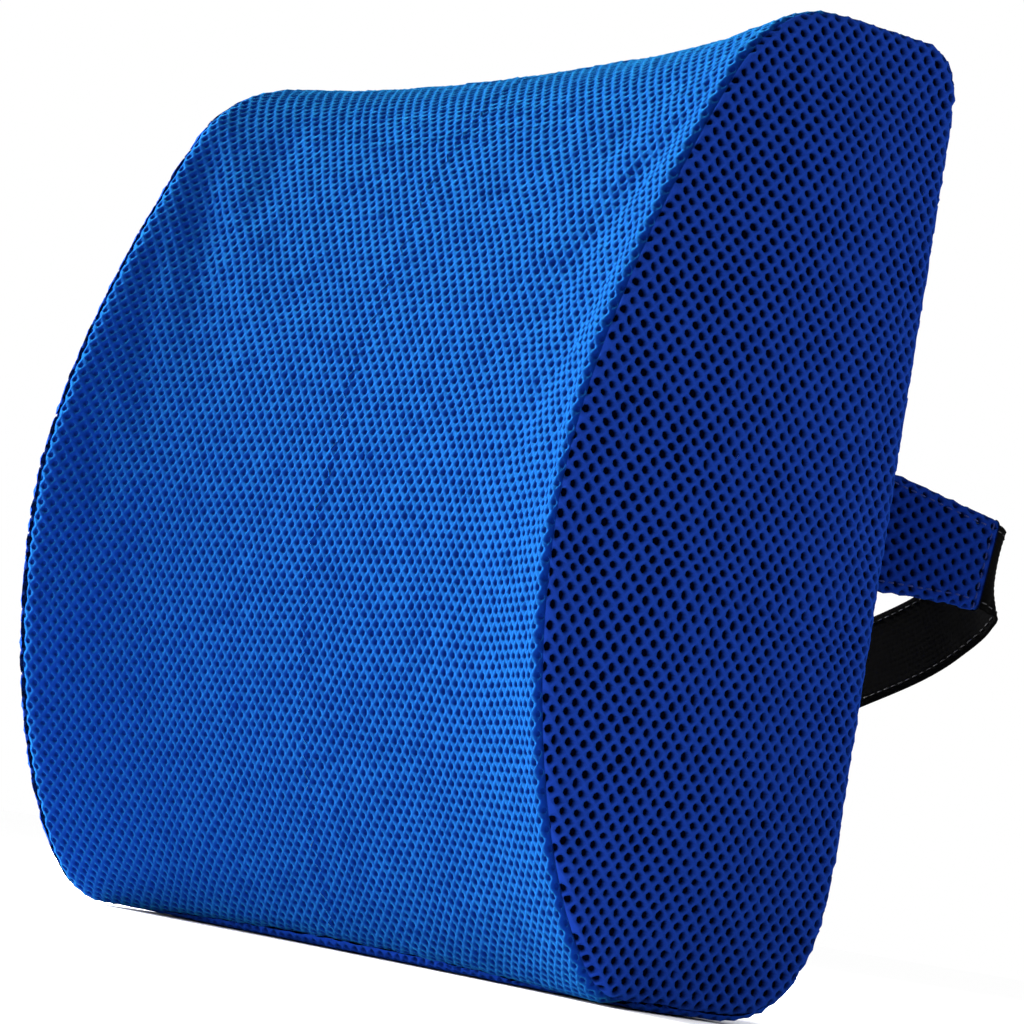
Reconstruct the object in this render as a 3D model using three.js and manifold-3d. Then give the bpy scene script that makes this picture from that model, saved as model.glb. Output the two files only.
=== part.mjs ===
// Lumbar support cushion: a foam core in a liner and a zipped cover of spacer mesh, with an elastic strap,
// a side-release buckle and a strap adjuster behind it.
// Millimetres, +Z up. The front of the cushion faces -Y, the chair side faces +Y, and the origin is on the flat base.

import * as THREE from 'three';
import { mergeVertices } from 'three/addons/utils/BufferGeometryUtils.js';
import Module from 'manifold-3d';

const wasm = await Module();
wasm.setup();

// ---------------------------------------------------------------- driving dimensions

const GAP = 0.3; // between pieces that touch on the real object

// cushion form
const HALF_W = 170; // side face to middle
const HEIGHT = 330;
const DEPTH = 139.5; // back plane to the front of a wing
const BULGE_Z = 148; // height of the deepest point
const DISH = 18; // how far the middle of the front lies behind the wings
const DISH_POWER = 2.4;
const LIP = 8; // how far the front rises again towards the edge of each wing
const LIP_FROM = 118; // where it starts to rise, from the middle
const TOP_SAG = 5; // how far the middle of the top sinks below its ends
const TOP_SAG_FROM = 200; // height where the sinking starts
const BASE_FRONT = 84; // the flat base ends this far in front of the back plane
const BASE_BACK = 40; // and starts this far in front of it
const BACK_Y = 60; // back plane, from the origin
const EDGE_R = 7; // round edge between front and side
const SIDE_CROWN = 5; // how far a side panel bulges
const CURVE_STEPS = 6;

// layers, from the outside in
const COVER_T = 3;
const LINER_T = 0.8;
const LINER_IN = COVER_T + GAP;
const CORE_IN = LINER_IN + LINER_T + GAP;

// seams of the cover
const SIDE_SEAM_X = HALF_W - 3;
const BACK_SEAM_X = HALF_W - 18;
const BACK_TOP_Z = 321;
const BACK_BOTTOM_Z = 18;
const BACK_PANEL_REACH = 14;
const BASE_SEAM_FRONT = 74; // front edge of the base panel, from the back plane

// zip, along X across the lower back
const ZIP_Z = 84;
const ZIP_OPENING = 8; // half the gap between the two back panels
const TAPE_T = 0.7;
const TAPE_Y = -1.25;
const COIL_W = 2.5;
const COIL_T = 1.7;
const COIL_Y = -1.1;
const COIL_SPLIT = 0.6; // half the space between the two coils
const CHAIN_HALF = 140;
const STOP_L = 2.5;
const SLIDER_X = -132;
const SLIDER_L = 11;
const SLIDER_HALF_Z = 4.6;
const SLIDER_PLATE_T = 1.0;
const PULL_BAR_R = 0.7;
const PULL_L = 26;
const PULL_W = 7;
const PULL_T = 1.2;

// strap
const STRAP_W = 30;
const ELASTIC_T = 1.5;
const STRAP_Y = 56; // middle plane of the buckle, behind the back plane
const STRAP_Z = 111; // height of the buckle
const TAB_T = 5;
const TAB_ROOT_T = 3;
const TAB_POCKET = 13;
const TAB_END_LEAN = 0.13; // the tab's end reaches further at its top edge

// buckle: the socket's own end is its left end
const BUCKLE_X = -14;
const SOCKET_L = 38;
const SOCKET_HALF_W = 20;
const SOCKET_HALF_T = 5.5;
const SOCKET_WALL = 2.2;
const SOCKET_SOLID_END = 9;
const WINDOW_START = 13.5;
const WINDOW_END = 27;
const BAR_R = 1.6;
const SLOT_HALF_W = 16.2;
const PLUG_L = 17;
const PRONG_HALF_T = 2.5;
const PRONG_ROOT_W = 14;
const SHOULDER_W = 21;
const TONGUE_HALF_W = 3;

// adjuster
const ADJUSTER_X = -62;
const ADJUSTER_L = 24;
const ADJUSTER_HALF_W = 19;
const ADJUSTER_T = 2.2;
const ADJUSTER_SLOT_L = 5;
const CENTRE_BAR_HALF_L = 2.2;

// blank care label
const LABEL_X = 104;
const LABEL_W = 24;
const LABEL_H = 34;
const LABEL_T = 0.4;

// ---------------------------------------------------------------- materials

function material(color, roughness, metalness = 0) {
  return new THREE.MeshStandardMaterial({ color, roughness, metalness });
}

const frontMesh = () => material(0x0d3f9e, 0.75);
const sideMesh = () => material(0x122f6e, 0.85);
const foam = () => material(0xe8dfc4, 0.95);
const linerCloth = () => material(0xe4e4e0, 0.9);
const zipCloth = () => material(0x101b3c, 0.85);
const zipCoil = () => material(0x141e44, 0.45);
const zipMetal = () => material(0x7d8086, 0.35, 0.9);
const labelCloth = () => material(0xeeeeea, 0.6);
const elasticCloth = () => material(0x0b0b0b, 0.9);
const blackPlastic = () => material(0x101011, 0.45);

// ---------------------------------------------------------------- solids

function toSolid(geometry) {
  const bare = geometry.clone();
  bare.deleteAttribute('normal');
  bare.deleteAttribute('uv');
  const merged = mergeVertices(bare, 1e-4);
  return new wasm.Manifold(
    new wasm.Mesh({
      numProp: 3,
      vertProperties: new Float32Array(merged.attributes.position.array),
      triVerts: new Uint32Array(merged.index.array),
    }),
  );
}

function toGeometry(solid) {
  const mesh = solid.getMesh();
  const geometry = new THREE.BufferGeometry();
  geometry.setAttribute('position', new THREE.BufferAttribute(new Float32Array(mesh.vertProperties), 3));
  geometry.setIndex(new THREE.BufferAttribute(new Uint32Array(mesh.triVerts), 1));
  return geometry;
}

const unite = (solids) => solids.reduce((whole, one) => whole.add(one));
const cut = (whole, tools) => tools.reduce((left, tool) => left.subtract(tool), whole);

// A box between two corners.
function block(x0, x1, y0, y1, z0, z1) {
  const geometry = new THREE.BoxGeometry(x1 - x0, y1 - y0, z1 - z0);
  geometry.translate((x0 + x1) / 2, (y0 + y1) / 2, (z0 + z1) / 2);
  return toSolid(geometry);
}

// A round bar along Z.
function barAlongZ(x, y, z, radius, length, sides = 16) {
  const geometry = new THREE.CylinderGeometry(radius, radius, length, sides);
  geometry.rotateX(Math.PI / 2);
  geometry.translate(x, y, z);
  return toSolid(geometry);
}

// An outline in (x, z), from y0 to y1.
function plateXZ(outline, y0, y1) {
  const shape = new THREE.Shape(outline.map(([x, z]) => new THREE.Vector2(x, z)));
  const geometry = new THREE.ExtrudeGeometry(shape, { depth: y1 - y0, bevelEnabled: false });
  geometry.rotateX(Math.PI / 2);
  geometry.translate(0, y1, 0);
  return toSolid(geometry);
}

// An outline in (x, y), from z0 to z1.
function prismXY(outline, z0, z1) {
  const shape = new THREE.Shape(outline.map(([x, y]) => new THREE.Vector2(x, y)));
  const geometry = new THREE.ExtrudeGeometry(shape, { depth: z1 - z0, bevelEnabled: false });
  geometry.translate(0, 0, z0);
  return toSolid(geometry);
}

// A closed skin through rings of points. Each end closes on the middle of its ring, or on the point given.
function loft(rings, startTip, endTip) {
  const count = rings[0].length;
  const middle = (ring) => ring.reduce((sum, p) => sum.clone().add(p)).divideScalar(count);
  const points = [...rings.flat(), startTip ?? middle(rings[0]), endTip ?? middle(rings.at(-1))];
  const start = points.length - 2;
  const end = points.length - 1;
  const lastRing = (rings.length - 1) * count;
  const index = [];
  for (let i = 0; i < count; i += 1) {
    const next = (i + 1) % count;
    for (let r = 0; r < rings.length - 1; r += 1) {
      const a = r * count;
      const b = a + count;
      index.push(a + i, b + i, b + next, a + i, b + next, a + next);
    }
    index.push(start, i, next, end, lastRing + next, lastRing + i);
  }
  const geometry = new THREE.BufferGeometry();
  geometry.setFromPoints(points);
  geometry.setIndex(signedVolume(points, index) < 0 ? index.reverse() : index);
  return geometry;
}

function signedVolume(points, index) {
  let sum = 0;
  const crossed = new THREE.Vector3();
  for (let i = 0; i < index.length; i += 3) {
    crossed.crossVectors(points[index[i + 1]], points[index[i + 2]]);
    sum += points[index[i]].dot(crossed);
  }
  return sum;
}

// ---------------------------------------------------------------- cushion form

// The side outline in (y, z): base, front, top, back.
function sideOutline() {
  const path = new THREE.Path();
  path.moveTo(-BASE_BACK, 0);
  path.lineTo(-BASE_FRONT, 0);
  path.bezierCurveTo(-106, 0, -DEPTH, 70, -DEPTH, BULGE_Z);
  path.bezierCurveTo(-DEPTH, 200, -112, 268, -98, 297);
  path.bezierCurveTo(-91, 313, -76, 328, -54, HEIGHT - 1);
  path.lineTo(-18, HEIGHT);
  path.bezierCurveTo(-8, HEIGHT, 0, 322, 0, 312);
  path.lineTo(0, 52);
  path.bezierCurveTo(0, 20, -14, 0, -BASE_BACK, 0);
  return path.getPoints(CURVE_STEPS).slice(0, -1);
}

// The top sinks between its two ends.
function topSag(x, z) {
  const share = Math.min(1, Math.abs(x) / HALF_W) ** 2;
  const height = Math.max(0, (z - TOP_SAG_FROM) / (HEIGHT - TOP_SAG_FROM));
  return TOP_SAG * (1 - share) * height ** 2;
}

// The front is hollow across its width, so the depth shrinks towards the middle.
function depthScale(x) {
  const share = Math.min(1, Math.abs(x) / HALF_W) ** DISH_POWER;
  const lip = Math.min(1, Math.max(0, Math.abs(x) - LIP_FROM) / (HALF_W - LIP_FROM)) ** 2;
  return 1 - (DISH / DEPTH) * (1 - share) - (LIP / DEPTH) * (1 - lip);
}

// The outline at x, moved inwards by inset.
function ring(outline, x, inset) {
  const scale = depthScale(x);
  const points = outline.map((p) => new THREE.Vector2(p.x * scale, p.y));
  const count = points.length;
  return points.map((p, i) => {
    const before = p.clone().sub(points[(i + count - 1) % count]).normalize();
    const after = points[(i + 1) % count].clone().sub(p).normalize();
    const along = before.clone().add(after).normalize();
    const reach = inset / along.dot(after);
    const z = p.y - along.x * reach;
    return new THREE.Vector3(x, p.x + along.y * reach, z - topSag(x, z));
  });
}

// The whole cushion, offset inwards by depth.
function cushionForm(depth) {
  const outline = sideOutline();
  const halfW = HALF_W - depth;
  const radius = EDGE_R - depth;
  const half = [0, 45, 90, 118, 135, 150].map((x) => [x, depth]);
  for (let k = 0; k <= 3; k += 1) {
    const angle = ((Math.PI / 2) * k) / 3;
    half.push([halfW - radius + radius * Math.sin(angle), depth + radius * (1 - Math.cos(angle))]);
  }
  const stations = [...half.slice(1).reverse().map(([x, inset]) => [-x, inset]), ...half];
  const rings = stations.map(([x, inset]) => ring(outline, x, inset));
  const middle = new THREE.Vector3(0, -DEPTH * 0.46, HEIGHT * 0.47);
  const crownRing = (edge, side) =>
    edge.map((p) => {
      const q = p.clone().lerp(middle, 0.4);
      return q.setX(side * (halfW + SIDE_CROWN * 0.85));
    });
  rings.unshift(crownRing(rings[0], -1));
  rings.push(crownRing(rings.at(-1), 1));
  const tip = (side) => middle.clone().setX(side * (halfW + SIDE_CROWN));
  return toSolid(loft(rings, tip(-1), tip(1)));
}

// The space that a side panel takes: all of the side, and round the back corner to the back seam.
function sideSpace(side, grown) {
  const seam = SIDE_SEAM_X - grown;
  const back = BACK_SEAM_X - grown;
  const outline = [[seam, -250], [HALF_W + 60, -250], [HALF_W + 60, 60], [back, 60], [back, -5], [seam, -32]];
  return prismXY(outline.map(([x, y]) => [side * x, y]), -20, HEIGHT + 20);
}

function backSpace(grown) {
  const reach = BACK_PANEL_REACH + grown;
  return block(-HALF_W - 20, HALF_W + 20, -reach, 60, BACK_BOTTOM_Z - grown, BACK_TOP_Z + grown);
}

// The base panel runs back from its front seam and up round the corner to the back panel.
function baseSpace(grown) {
  return block(-HALF_W, HALF_W, -BASE_SEAM_FRONT - grown, 20, -5, BACK_BOTTOM_Z - GAP + grown);
}

function coverPanels() {
  const shell = cushionForm(0).subtract(cushionForm(COVER_T));
  const sides = [-1, 1].map((side) => sideSpace(side, GAP));
  const notches = [-1, 1].map((side) => tabNotch(side));
  const back = cut(shell.intersect(backSpace(0)), [...sides, ...notches]);
  const wide = HALF_W + 20;
  return {
    cover_front_panel: cut(shell, [...sides, backSpace(GAP), baseSpace(GAP)]),
    cover_base_panel: cut(shell.intersect(baseSpace(0)), sides),
    cover_side_left: cut(shell.intersect(sideSpace(-1, 0)), notches),
    cover_side_right: cut(shell.intersect(sideSpace(1, 0)), notches),
    cover_back_upper: back.intersect(block(-wide, wide, -60, 60, ZIP_Z + ZIP_OPENING, HEIGHT)),
    cover_back_lower: back.intersect(block(-wide, wide, -60, 60, 0, ZIP_Z - ZIP_OPENING)),
  };
}

// A thin sock over the foam, open behind the zip.
function coreLiner() {
  const slit = block(-110, 110, -20, 20, ZIP_Z - 3, ZIP_Z + 3);
  return cushionForm(LINER_IN).subtract(cushionForm(LINER_IN + LINER_T)).subtract(slit);
}

// ---------------------------------------------------------------- zip

function zipHalf(side) {
  const band = (near, far, y, thickness, halfLength) => {
    const z = [ZIP_Z + side * near, ZIP_Z + side * far].sort((a, b) => a - b);
    return block(-halfLength, halfLength, y - thickness / 2, y + thickness / 2, z[0], z[1]);
  };
  const coilEdge = COIL_SPLIT + COIL_W;
  return {
    tape: band(coilEdge + GAP, ZIP_OPENING - GAP, TAPE_Y, TAPE_T, BACK_SEAM_X - 2 * GAP),
    coil: band(COIL_SPLIT, coilEdge, COIL_Y, COIL_T, CHAIN_HALF),
  };
}

function zipStop(side) {
  const near = CHAIN_HALF + GAP;
  const x = [side * near, side * (near + STOP_L)].sort((a, b) => a - b);
  const halfZ = COIL_SPLIT + COIL_W;
  return block(x[0], x[1], COIL_Y - COIL_T / 2, COIL_Y + COIL_T / 2, ZIP_Z - halfZ, ZIP_Z + halfZ);
}

const SLIDER_TOP_Y = COIL_Y + COIL_T / 2 + GAP;
const SLIDER_BOTTOM_Y = COIL_Y - COIL_T / 2 - GAP;
const SLIDER_FACE_Y = SLIDER_TOP_Y + SLIDER_PLATE_T;
const PULL_Y = SLIDER_FACE_Y + GAP + PULL_BAR_R;
const BRIDGE_UNDER_Y = PULL_Y + PULL_BAR_R + GAP;
const BRIDGE_TOP_Y = BRIDGE_UNDER_Y + 1;

// Two plates joined by the post between the coils, with flanges that keep clear of the tapes, and a bridge for the pull.
function zipSlider() {
  const half = SLIDER_L / 2;
  const x0 = SLIDER_X - half;
  const x1 = SLIDER_X + half;
  const z0 = ZIP_Z - SLIDER_HALF_Z;
  const z1 = ZIP_Z + SLIDER_HALF_Z;
  const flange = COIL_SPLIT + COIL_W + GAP;
  const tapeTop = TAPE_Y + TAPE_T / 2 + GAP;
  const tapeBottom = TAPE_Y - TAPE_T / 2 - GAP;
  const pieces = [
    block(x0, x1, SLIDER_TOP_Y, SLIDER_FACE_Y, z0, z1),
    block(x0, x1, SLIDER_BOTTOM_Y - 0.7, SLIDER_BOTTOM_Y, z0, z1),
    block(SLIDER_X - 2, SLIDER_X + 2, SLIDER_BOTTOM_Y - 0.1, SLIDER_TOP_Y + 0.1, ZIP_Z - 0.3, ZIP_Z + 0.3),
    block(x0, x1, tapeTop, SLIDER_TOP_Y + 0.1, ZIP_Z + flange, z1),
    block(x0, x1, tapeTop, SLIDER_TOP_Y + 0.1, z0, ZIP_Z - flange),
    block(x0, x1, SLIDER_BOTTOM_Y - 0.1, tapeBottom, ZIP_Z + flange, z1),
    block(x0, x1, SLIDER_BOTTOM_Y - 0.1, tapeBottom, z0, ZIP_Z - flange),
    block(SLIDER_X - 4, SLIDER_X + 4, BRIDGE_UNDER_Y, BRIDGE_TOP_Y, ZIP_Z - 0.8, ZIP_Z + 0.8),
    block(SLIDER_X - 4, SLIDER_X - 2.8, SLIDER_FACE_Y - 0.1, BRIDGE_TOP_Y, ZIP_Z - 0.8, ZIP_Z + 0.8),
    block(SLIDER_X + 2.8, SLIDER_X + 4, SLIDER_FACE_Y - 0.1, BRIDGE_TOP_Y, ZIP_Z - 0.8, ZIP_Z + 0.8),
  ];
  return unite(pieces);
}

// A bar under the bridge, two arms beside it and a flat tab that lies along the closed chain.
function zipPull() {
  const armIn = 0.8 + GAP;
  const armOut = armIn + 1.2;
  const y0 = PULL_Y - PULL_T / 2;
  const y1 = PULL_Y + PULL_T / 2;
  const tabX = SLIDER_X + SLIDER_L / 2 + 1;
  const end = SLIDER_X + PULL_L + 3;
  const tab = plateXZ(
    [
      [tabX, ZIP_Z - armOut],
      [tabX + 3, ZIP_Z - PULL_W / 2],
      [end - 2, ZIP_Z - PULL_W / 2],
      [end, ZIP_Z - PULL_W / 2 + 2],
      [end, ZIP_Z + PULL_W / 2 - 2],
      [end - 2, ZIP_Z + PULL_W / 2],
      [tabX + 3, ZIP_Z + PULL_W / 2],
      [tabX, ZIP_Z + armOut],
    ],
    y0,
    y1,
  );
  const hole = block(end - 6, end - 3, y0 - 1, y1 + 1, ZIP_Z - 1.5, ZIP_Z + 1.5);
  return unite([
    barAlongZ(SLIDER_X, PULL_Y, ZIP_Z, PULL_BAR_R, 2 * armOut, 12),
    block(SLIDER_X, tabX + 0.5, y0, y1, ZIP_Z + armIn, ZIP_Z + armOut),
    block(SLIDER_X, tabX + 0.5, y0, y1, ZIP_Z - armOut, ZIP_Z - armIn),
    tab,
  ]).subtract(hole);
}

// A blank label sewn under the zip.
function careLabel() {
  const top = ZIP_Z - ZIP_OPENING - 1;
  return block(LABEL_X - LABEL_W / 2, LABEL_X + LABEL_W / 2, GAP, GAP + LABEL_T, top - LABEL_H, top);
}

// ---------------------------------------------------------------- strap tabs

// Middle line of a tab, from the seam to its end: [x, y, z, half height, thickness].
const TAB_LINE = [
  [BACK_SEAM_X, -COVER_T + GAP, 168.5, 21.5, TAB_ROOT_T],
  [BACK_SEAM_X, 2.5, 168.3, 21.2, TAB_ROOT_T],
  [BACK_SEAM_X + 1.2, 8, 167.8, 20.4, TAB_T],
  [BACK_SEAM_X + 4.8, 25, 166.4, 18.4, TAB_T],
  [BACK_SEAM_X + 7.5, 38, 165.2, 16.8, TAB_T],
  [BACK_SEAM_X + 8.6, 49.7, 164.1, 16.2, TAB_T],
];

function tabNotch(side) {
  const half = TAB_ROOT_T / 2 + GAP;
  const x = [side * (BACK_SEAM_X - half), side * (BACK_SEAM_X + half)].sort((a, b) => a - b);
  return block(x[0], x[1], -COVER_T - 1, 10, 168.5 - 22.5, 168.5 + 22.5);
}

// A doubled piece of mesh with a pocket at its end for the elastic.
function strapTab(side) {
  const rings = TAB_LINE.map(([x, y, z, halfH, thickness], i) => {
    const before = TAB_LINE[Math.max(0, i - 1)];
    const after = TAB_LINE[Math.min(TAB_LINE.length - 1, i + 1)];
    const along = new THREE.Vector2(after[0] - before[0], after[1] - before[1]).normalize();
    const t = thickness / 2;
    const corner = Math.min(t * 0.7, 1.6);
    const section = [
      [t, halfH - corner],
      [t - corner, halfH],
      [corner - t, halfH],
      [-t, halfH - corner],
      [-t, corner - halfH],
      [corner - t, -halfH],
      [t - corner, -halfH],
      [t, corner - halfH],
    ];
    const lean = i === TAB_LINE.length - 1 ? TAB_END_LEAN : 0;
    return section.map(([u, v]) => new THREE.Vector3(side * (x + along.y * u), y - along.x * u + lean * v, z + v));
  });
  const pocketLine = throughTabEnd(side, [-TAB_POCKET, 3]);
  const pocket = toSolid(ribbon(pocketLine, STRAP_W + 3 * GAP, ELASTIC_T + 3 * GAP));
  return toSolid(loft(rings)).subtract(pocket);
}

// ---------------------------------------------------------------- elastic

// A flat band along a line of points, with its width as upright as the line allows.
function ribbon(points, width, thickness) {
  const rings = points.map((p, i) => {
    const before = points[Math.max(0, i - 1)];
    const after = points[Math.min(points.length - 1, i + 1)];
    const along = after.clone().sub(before).normalize();
    const up = new THREE.Vector3(0, 0, 1).addScaledVector(along, -along.z).normalize();
    const out = new THREE.Vector3().crossVectors(along, up);
    const corner = (u, v) => p.clone().addScaledVector(up, u * width / 2).addScaledVector(out, v * thickness / 2);
    return [corner(-1, -1), corner(1, -1), corner(1, 1), corner(-1, 1)];
  });
  return loft(rings);
}

// A straight line through the end of the tab, at these distances beyond it.
function throughTabEnd(side, distances) {
  const [before, end] = TAB_LINE.slice(-2).map(([x, y, z]) => new THREE.Vector3(side * x, y, z));
  const along = end.clone().sub(before).normalize();
  return distances.map((reach) => end.clone().addScaledVector(along, reach));
}

// Points on the half circle that takes the elastic round a bar at x. It starts on the inner layer, next to the cushion.
function roundBar(x, side) {
  const radius = BAR_R + GAP + ELASTIC_T / 2;
  const points = [];
  for (let k = 0; k <= 6; k += 1) {
    const angle = -Math.PI / 2 - (Math.PI * k) / 6;
    points.push(new THREE.Vector3(x + side * radius * Math.cos(angle), STRAP_Y + radius * Math.sin(angle), STRAP_Z));
  }
  return points;
}

const LAYER_Y = BAR_R + GAP + ELASTIC_T / 2; // from the buckle's middle plane to a layer's middle
const SOCKET_BAR_X = BUCKLE_X + BAR_R;
const PLUG_X = BUCKLE_X + SOCKET_L + 1;
const PLUG_BAR_X = PLUG_X + PLUG_L - BAR_R;

function smooth(points, steps) {
  return new THREE.CatmullRomCurve3(points, false, 'centripetal').getPoints(steps);
}

// From the tab round the corner and down to the level stretch behind the cushion. low holds the points of the drop, as [x, y, z].
function elasticDrop(side, low, levelX) {
  const inner = STRAP_Y - LAYER_Y;
  const [sewn, edge, out] = throughTabEnd(side, [GAP - TAB_POCKET, 0.2, 1.3]);
  const drop = [
    out,
    new THREE.Vector3(side * 160, 54, 163),
    new THREE.Vector3(side * 156.5, 57.6, 160.8),
    new THREE.Vector3(side * 150, 59, 156),
    new THREE.Vector3(side * 138, 58.5, 147),
    ...low.map(([x, y, z]) => new THREE.Vector3(side * x, y, z)),
    new THREE.Vector3(side * levelX, inner, STRAP_Z),
  ];
  return [sewn, edge, ...smooth(drop, 30)];
}

function elasticRight() {
  const end = new THREE.Vector3(PLUG_BAR_X + 22, STRAP_Y + LAYER_Y, STRAP_Z);
  const low = [[125, 57.3, 139], [98, 55, 127.5], [69, 53.5, 116.5]];
  const line = [...elasticDrop(1, low, PLUG_BAR_X + 12), ...roundBar(PLUG_BAR_X, 1), end];
  return toSolid(ribbon(line, STRAP_W, ELASTIC_T));
}

function elasticLeft() {
  const low = [[125, 57.3, 137.5], [108, 55, 124.5], [92, 53.6, 114.8]];
  const line = [...elasticDrop(-1, low, ADJUSTER_L / 2 + 3 - ADJUSTER_X), ...roundBar(SOCKET_BAR_X, -1)];
  return toSolid(ribbon(line, STRAP_W, ELASTIC_T));
}

const TAIL_Y = STRAP_Y - LAYER_Y + ELASTIC_T + GAP; // the doubled layer, where it passes under the adjuster
const ADJUSTER_Y = TAIL_Y + ELASTIC_T / 2 + GAP; // inner face of the adjuster

// The layer that comes back from the socket's bar to the adjuster.
function elasticTail() {
  const line = [
    new THREE.Vector3(SOCKET_BAR_X - GAP, STRAP_Y + LAYER_Y, STRAP_Z),
    new THREE.Vector3(SOCKET_BAR_X - 4, STRAP_Y + LAYER_Y, STRAP_Z),
    new THREE.Vector3(ADJUSTER_X + ADJUSTER_L / 2 + 4, TAIL_Y, STRAP_Z),
    new THREE.Vector3(ADJUSTER_X + CENTRE_BAR_HALF_L + GAP + ELASTIC_T + GAP, TAIL_Y, STRAP_Z),
  ];
  return toSolid(ribbon(line, STRAP_W, ELASTIC_T));
}

// The sewn end of the elastic, round the adjuster's centre bar.
function elasticEndLoop() {
  const inX = CENTRE_BAR_HALF_L + GAP;
  const outX = inX + ELASTIC_T;
  const y0 = TAIL_Y - ELASTIC_T / 2;
  const holeY0 = ADJUSTER_Y - GAP;
  const holeY1 = ADJUSTER_Y + ADJUSTER_T + GAP;
  const y1 = holeY1 + ELASTIC_T;
  const chamfer = 1.2;
  const outline = [
    [ADJUSTER_X - outX, y0],
    [ADJUSTER_X + outX, y0],
    [ADJUSTER_X + outX, y1 - chamfer],
    [ADJUSTER_X + outX - chamfer, y1],
    [ADJUSTER_X - outX + chamfer, y1],
    [ADJUSTER_X - outX, y1 - chamfer],
  ];
  const z0 = STRAP_Z - STRAP_W / 2;
  const z1 = STRAP_Z + STRAP_W / 2;
  const hole = block(ADJUSTER_X - inX, ADJUSTER_X + inX, holeY0, holeY1, z0 - 1, z1 + 1);
  return prismXY(outline, z0, z1).subtract(hole);
}

// ---------------------------------------------------------------- buckle and adjuster

// A rectangle in (x, z) with cut corners, round the strap's height.
function cornered(x0, x1, halfW, corner) {
  return [
    [x0 + corner, -halfW],
    [x1 - corner, -halfW],
    [x1, -halfW + corner],
    [x1, halfW - corner],
    [x1 - corner, halfW],
    [x0 + corner, halfW],
    [x0, halfW - corner],
    [x0, -halfW + corner],
  ].map(([x, z]) => [x, z + STRAP_Z]);
}

function strapBlock(x0, x1, y0, y1, z0, z1) {
  return block(x0, x1, STRAP_Y + y0, STRAP_Y + y1, STRAP_Z + z0, STRAP_Z + z1);
}

// A flat sleeve with a window in each side for a prong, and a bar across its closed end.
function buckleSocket() {
  const x = (along) => BUCKLE_X + along;
  const t = SOCKET_HALF_T;
  const body = plateXZ(cornered(x(0), x(SOCKET_L), SOCKET_HALF_W, 3), STRAP_Y - t, STRAP_Y + t);
  const inside = t - SOCKET_WALL;
  const mouth = SOCKET_HALF_W - SOCKET_WALL;
  const wide = SOCKET_HALF_W + 1;
  const slotEnd = SOCKET_SOLID_END - 2;
  return cut(body, [
    strapBlock(x(SOCKET_SOLID_END), x(SOCKET_L + 1), -inside, inside, -mouth, mouth),
    strapBlock(x(WINDOW_START), x(WINDOW_END), -inside, inside, -wide, wide),
    strapBlock(x(-1), x(slotEnd), -t - 1, t + 1, -SLOT_HALF_W, SLOT_HALF_W),
  ]).add(barAlongZ(SOCKET_BAR_X, STRAP_Y, STRAP_Z, BAR_R, 2 * SLOT_HALF_W + 1));
}

// The plug's body, its middle tongue and the bar for the elastic. The prongs are separate.
function bucklePlug() {
  const end = PLUG_X + PLUG_L;
  const t = SOCKET_HALF_T - 1;
  const body = plateXZ(cornered(PLUG_X, end, SOCKET_HALF_W, 3), STRAP_Y - t, STRAP_Y + t);
  const tongue = strapBlock(BUCKLE_X + WINDOW_START, PLUG_X + 1, -1.4, 1.4, -TONGUE_HALF_W, TONGUE_HALF_W);
  const slot = strapBlock(end - 2 * BAR_R - 5, end + 1, -t - 1, t + 1, -SLOT_HALF_W, SLOT_HALF_W);
  return body
    .subtract(slot)
    .add(tongue)
    .add(barAlongZ(PLUG_BAR_X, STRAP_Y, STRAP_Z, BAR_R, 2 * SLOT_HALF_W + 1));
}

// A springy arm whose shoulder stands in the socket's window.
function buckleProng(side) {
  const root = PLUG_X - GAP;
  const catchX = BUCKLE_X + WINDOW_END - GAP;
  const tipX = BUCKLE_X + WINDOW_START + 0.5;
  const outline = [
    [root - 1.2, PRONG_ROOT_W - 2],
    [root, PRONG_ROOT_W - 0.5],
    [root, PRONG_ROOT_W + 2],
    [catchX, PRONG_ROOT_W + 2.6],
    [catchX, SHOULDER_W],
    [catchX - 3, SHOULDER_W],
    [tipX + 3, PRONG_ROOT_W + 1.5],
    [tipX, PRONG_ROOT_W - 0.5],
    [tipX, PRONG_ROOT_W - 2.5],
    [tipX + 4, PRONG_ROOT_W - 2.5],
    [catchX - 2, PRONG_ROOT_W - 1.4],
  ];
  return plateXZ(
    outline.map(([x, z]) => [x, STRAP_Z + side * z]),
    STRAP_Y - PRONG_HALF_T,
    STRAP_Y + PRONG_HALF_T,
  );
}

function strapAdjuster() {
  const half = ADJUSTER_L / 2;
  const y0 = ADJUSTER_Y - STRAP_Y;
  const y1 = y0 + ADJUSTER_T;
  const outline = cornered(ADJUSTER_X - half, ADJUSTER_X + half, ADJUSTER_HALF_W, 3);
  const plate = plateXZ(outline, STRAP_Y + y0, STRAP_Y + y1);
  const slots = [-1, 1].map((side) => {
    const near = side * CENTRE_BAR_HALF_L;
    const far = side * (CENTRE_BAR_HALF_L + ADJUSTER_SLOT_L);
    const [x0, x1] = [near, far].sort((a, b) => a - b);
    return strapBlock(ADJUSTER_X + x0, ADJUSTER_X + x1, y0 - 1, y1 + 1, -SLOT_HALF_W, SLOT_HALF_W);
  });
  return cut(plate, slots);
}

// ---------------------------------------------------------------- assembly

const cushion = new THREE.Group();
cushion.position.y = BACK_Y;

function place(name, solid, finish) {
  const mesh = new THREE.Mesh(toGeometry(solid), finish);
  mesh.name = name;
  cushion.add(mesh);
}

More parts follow.
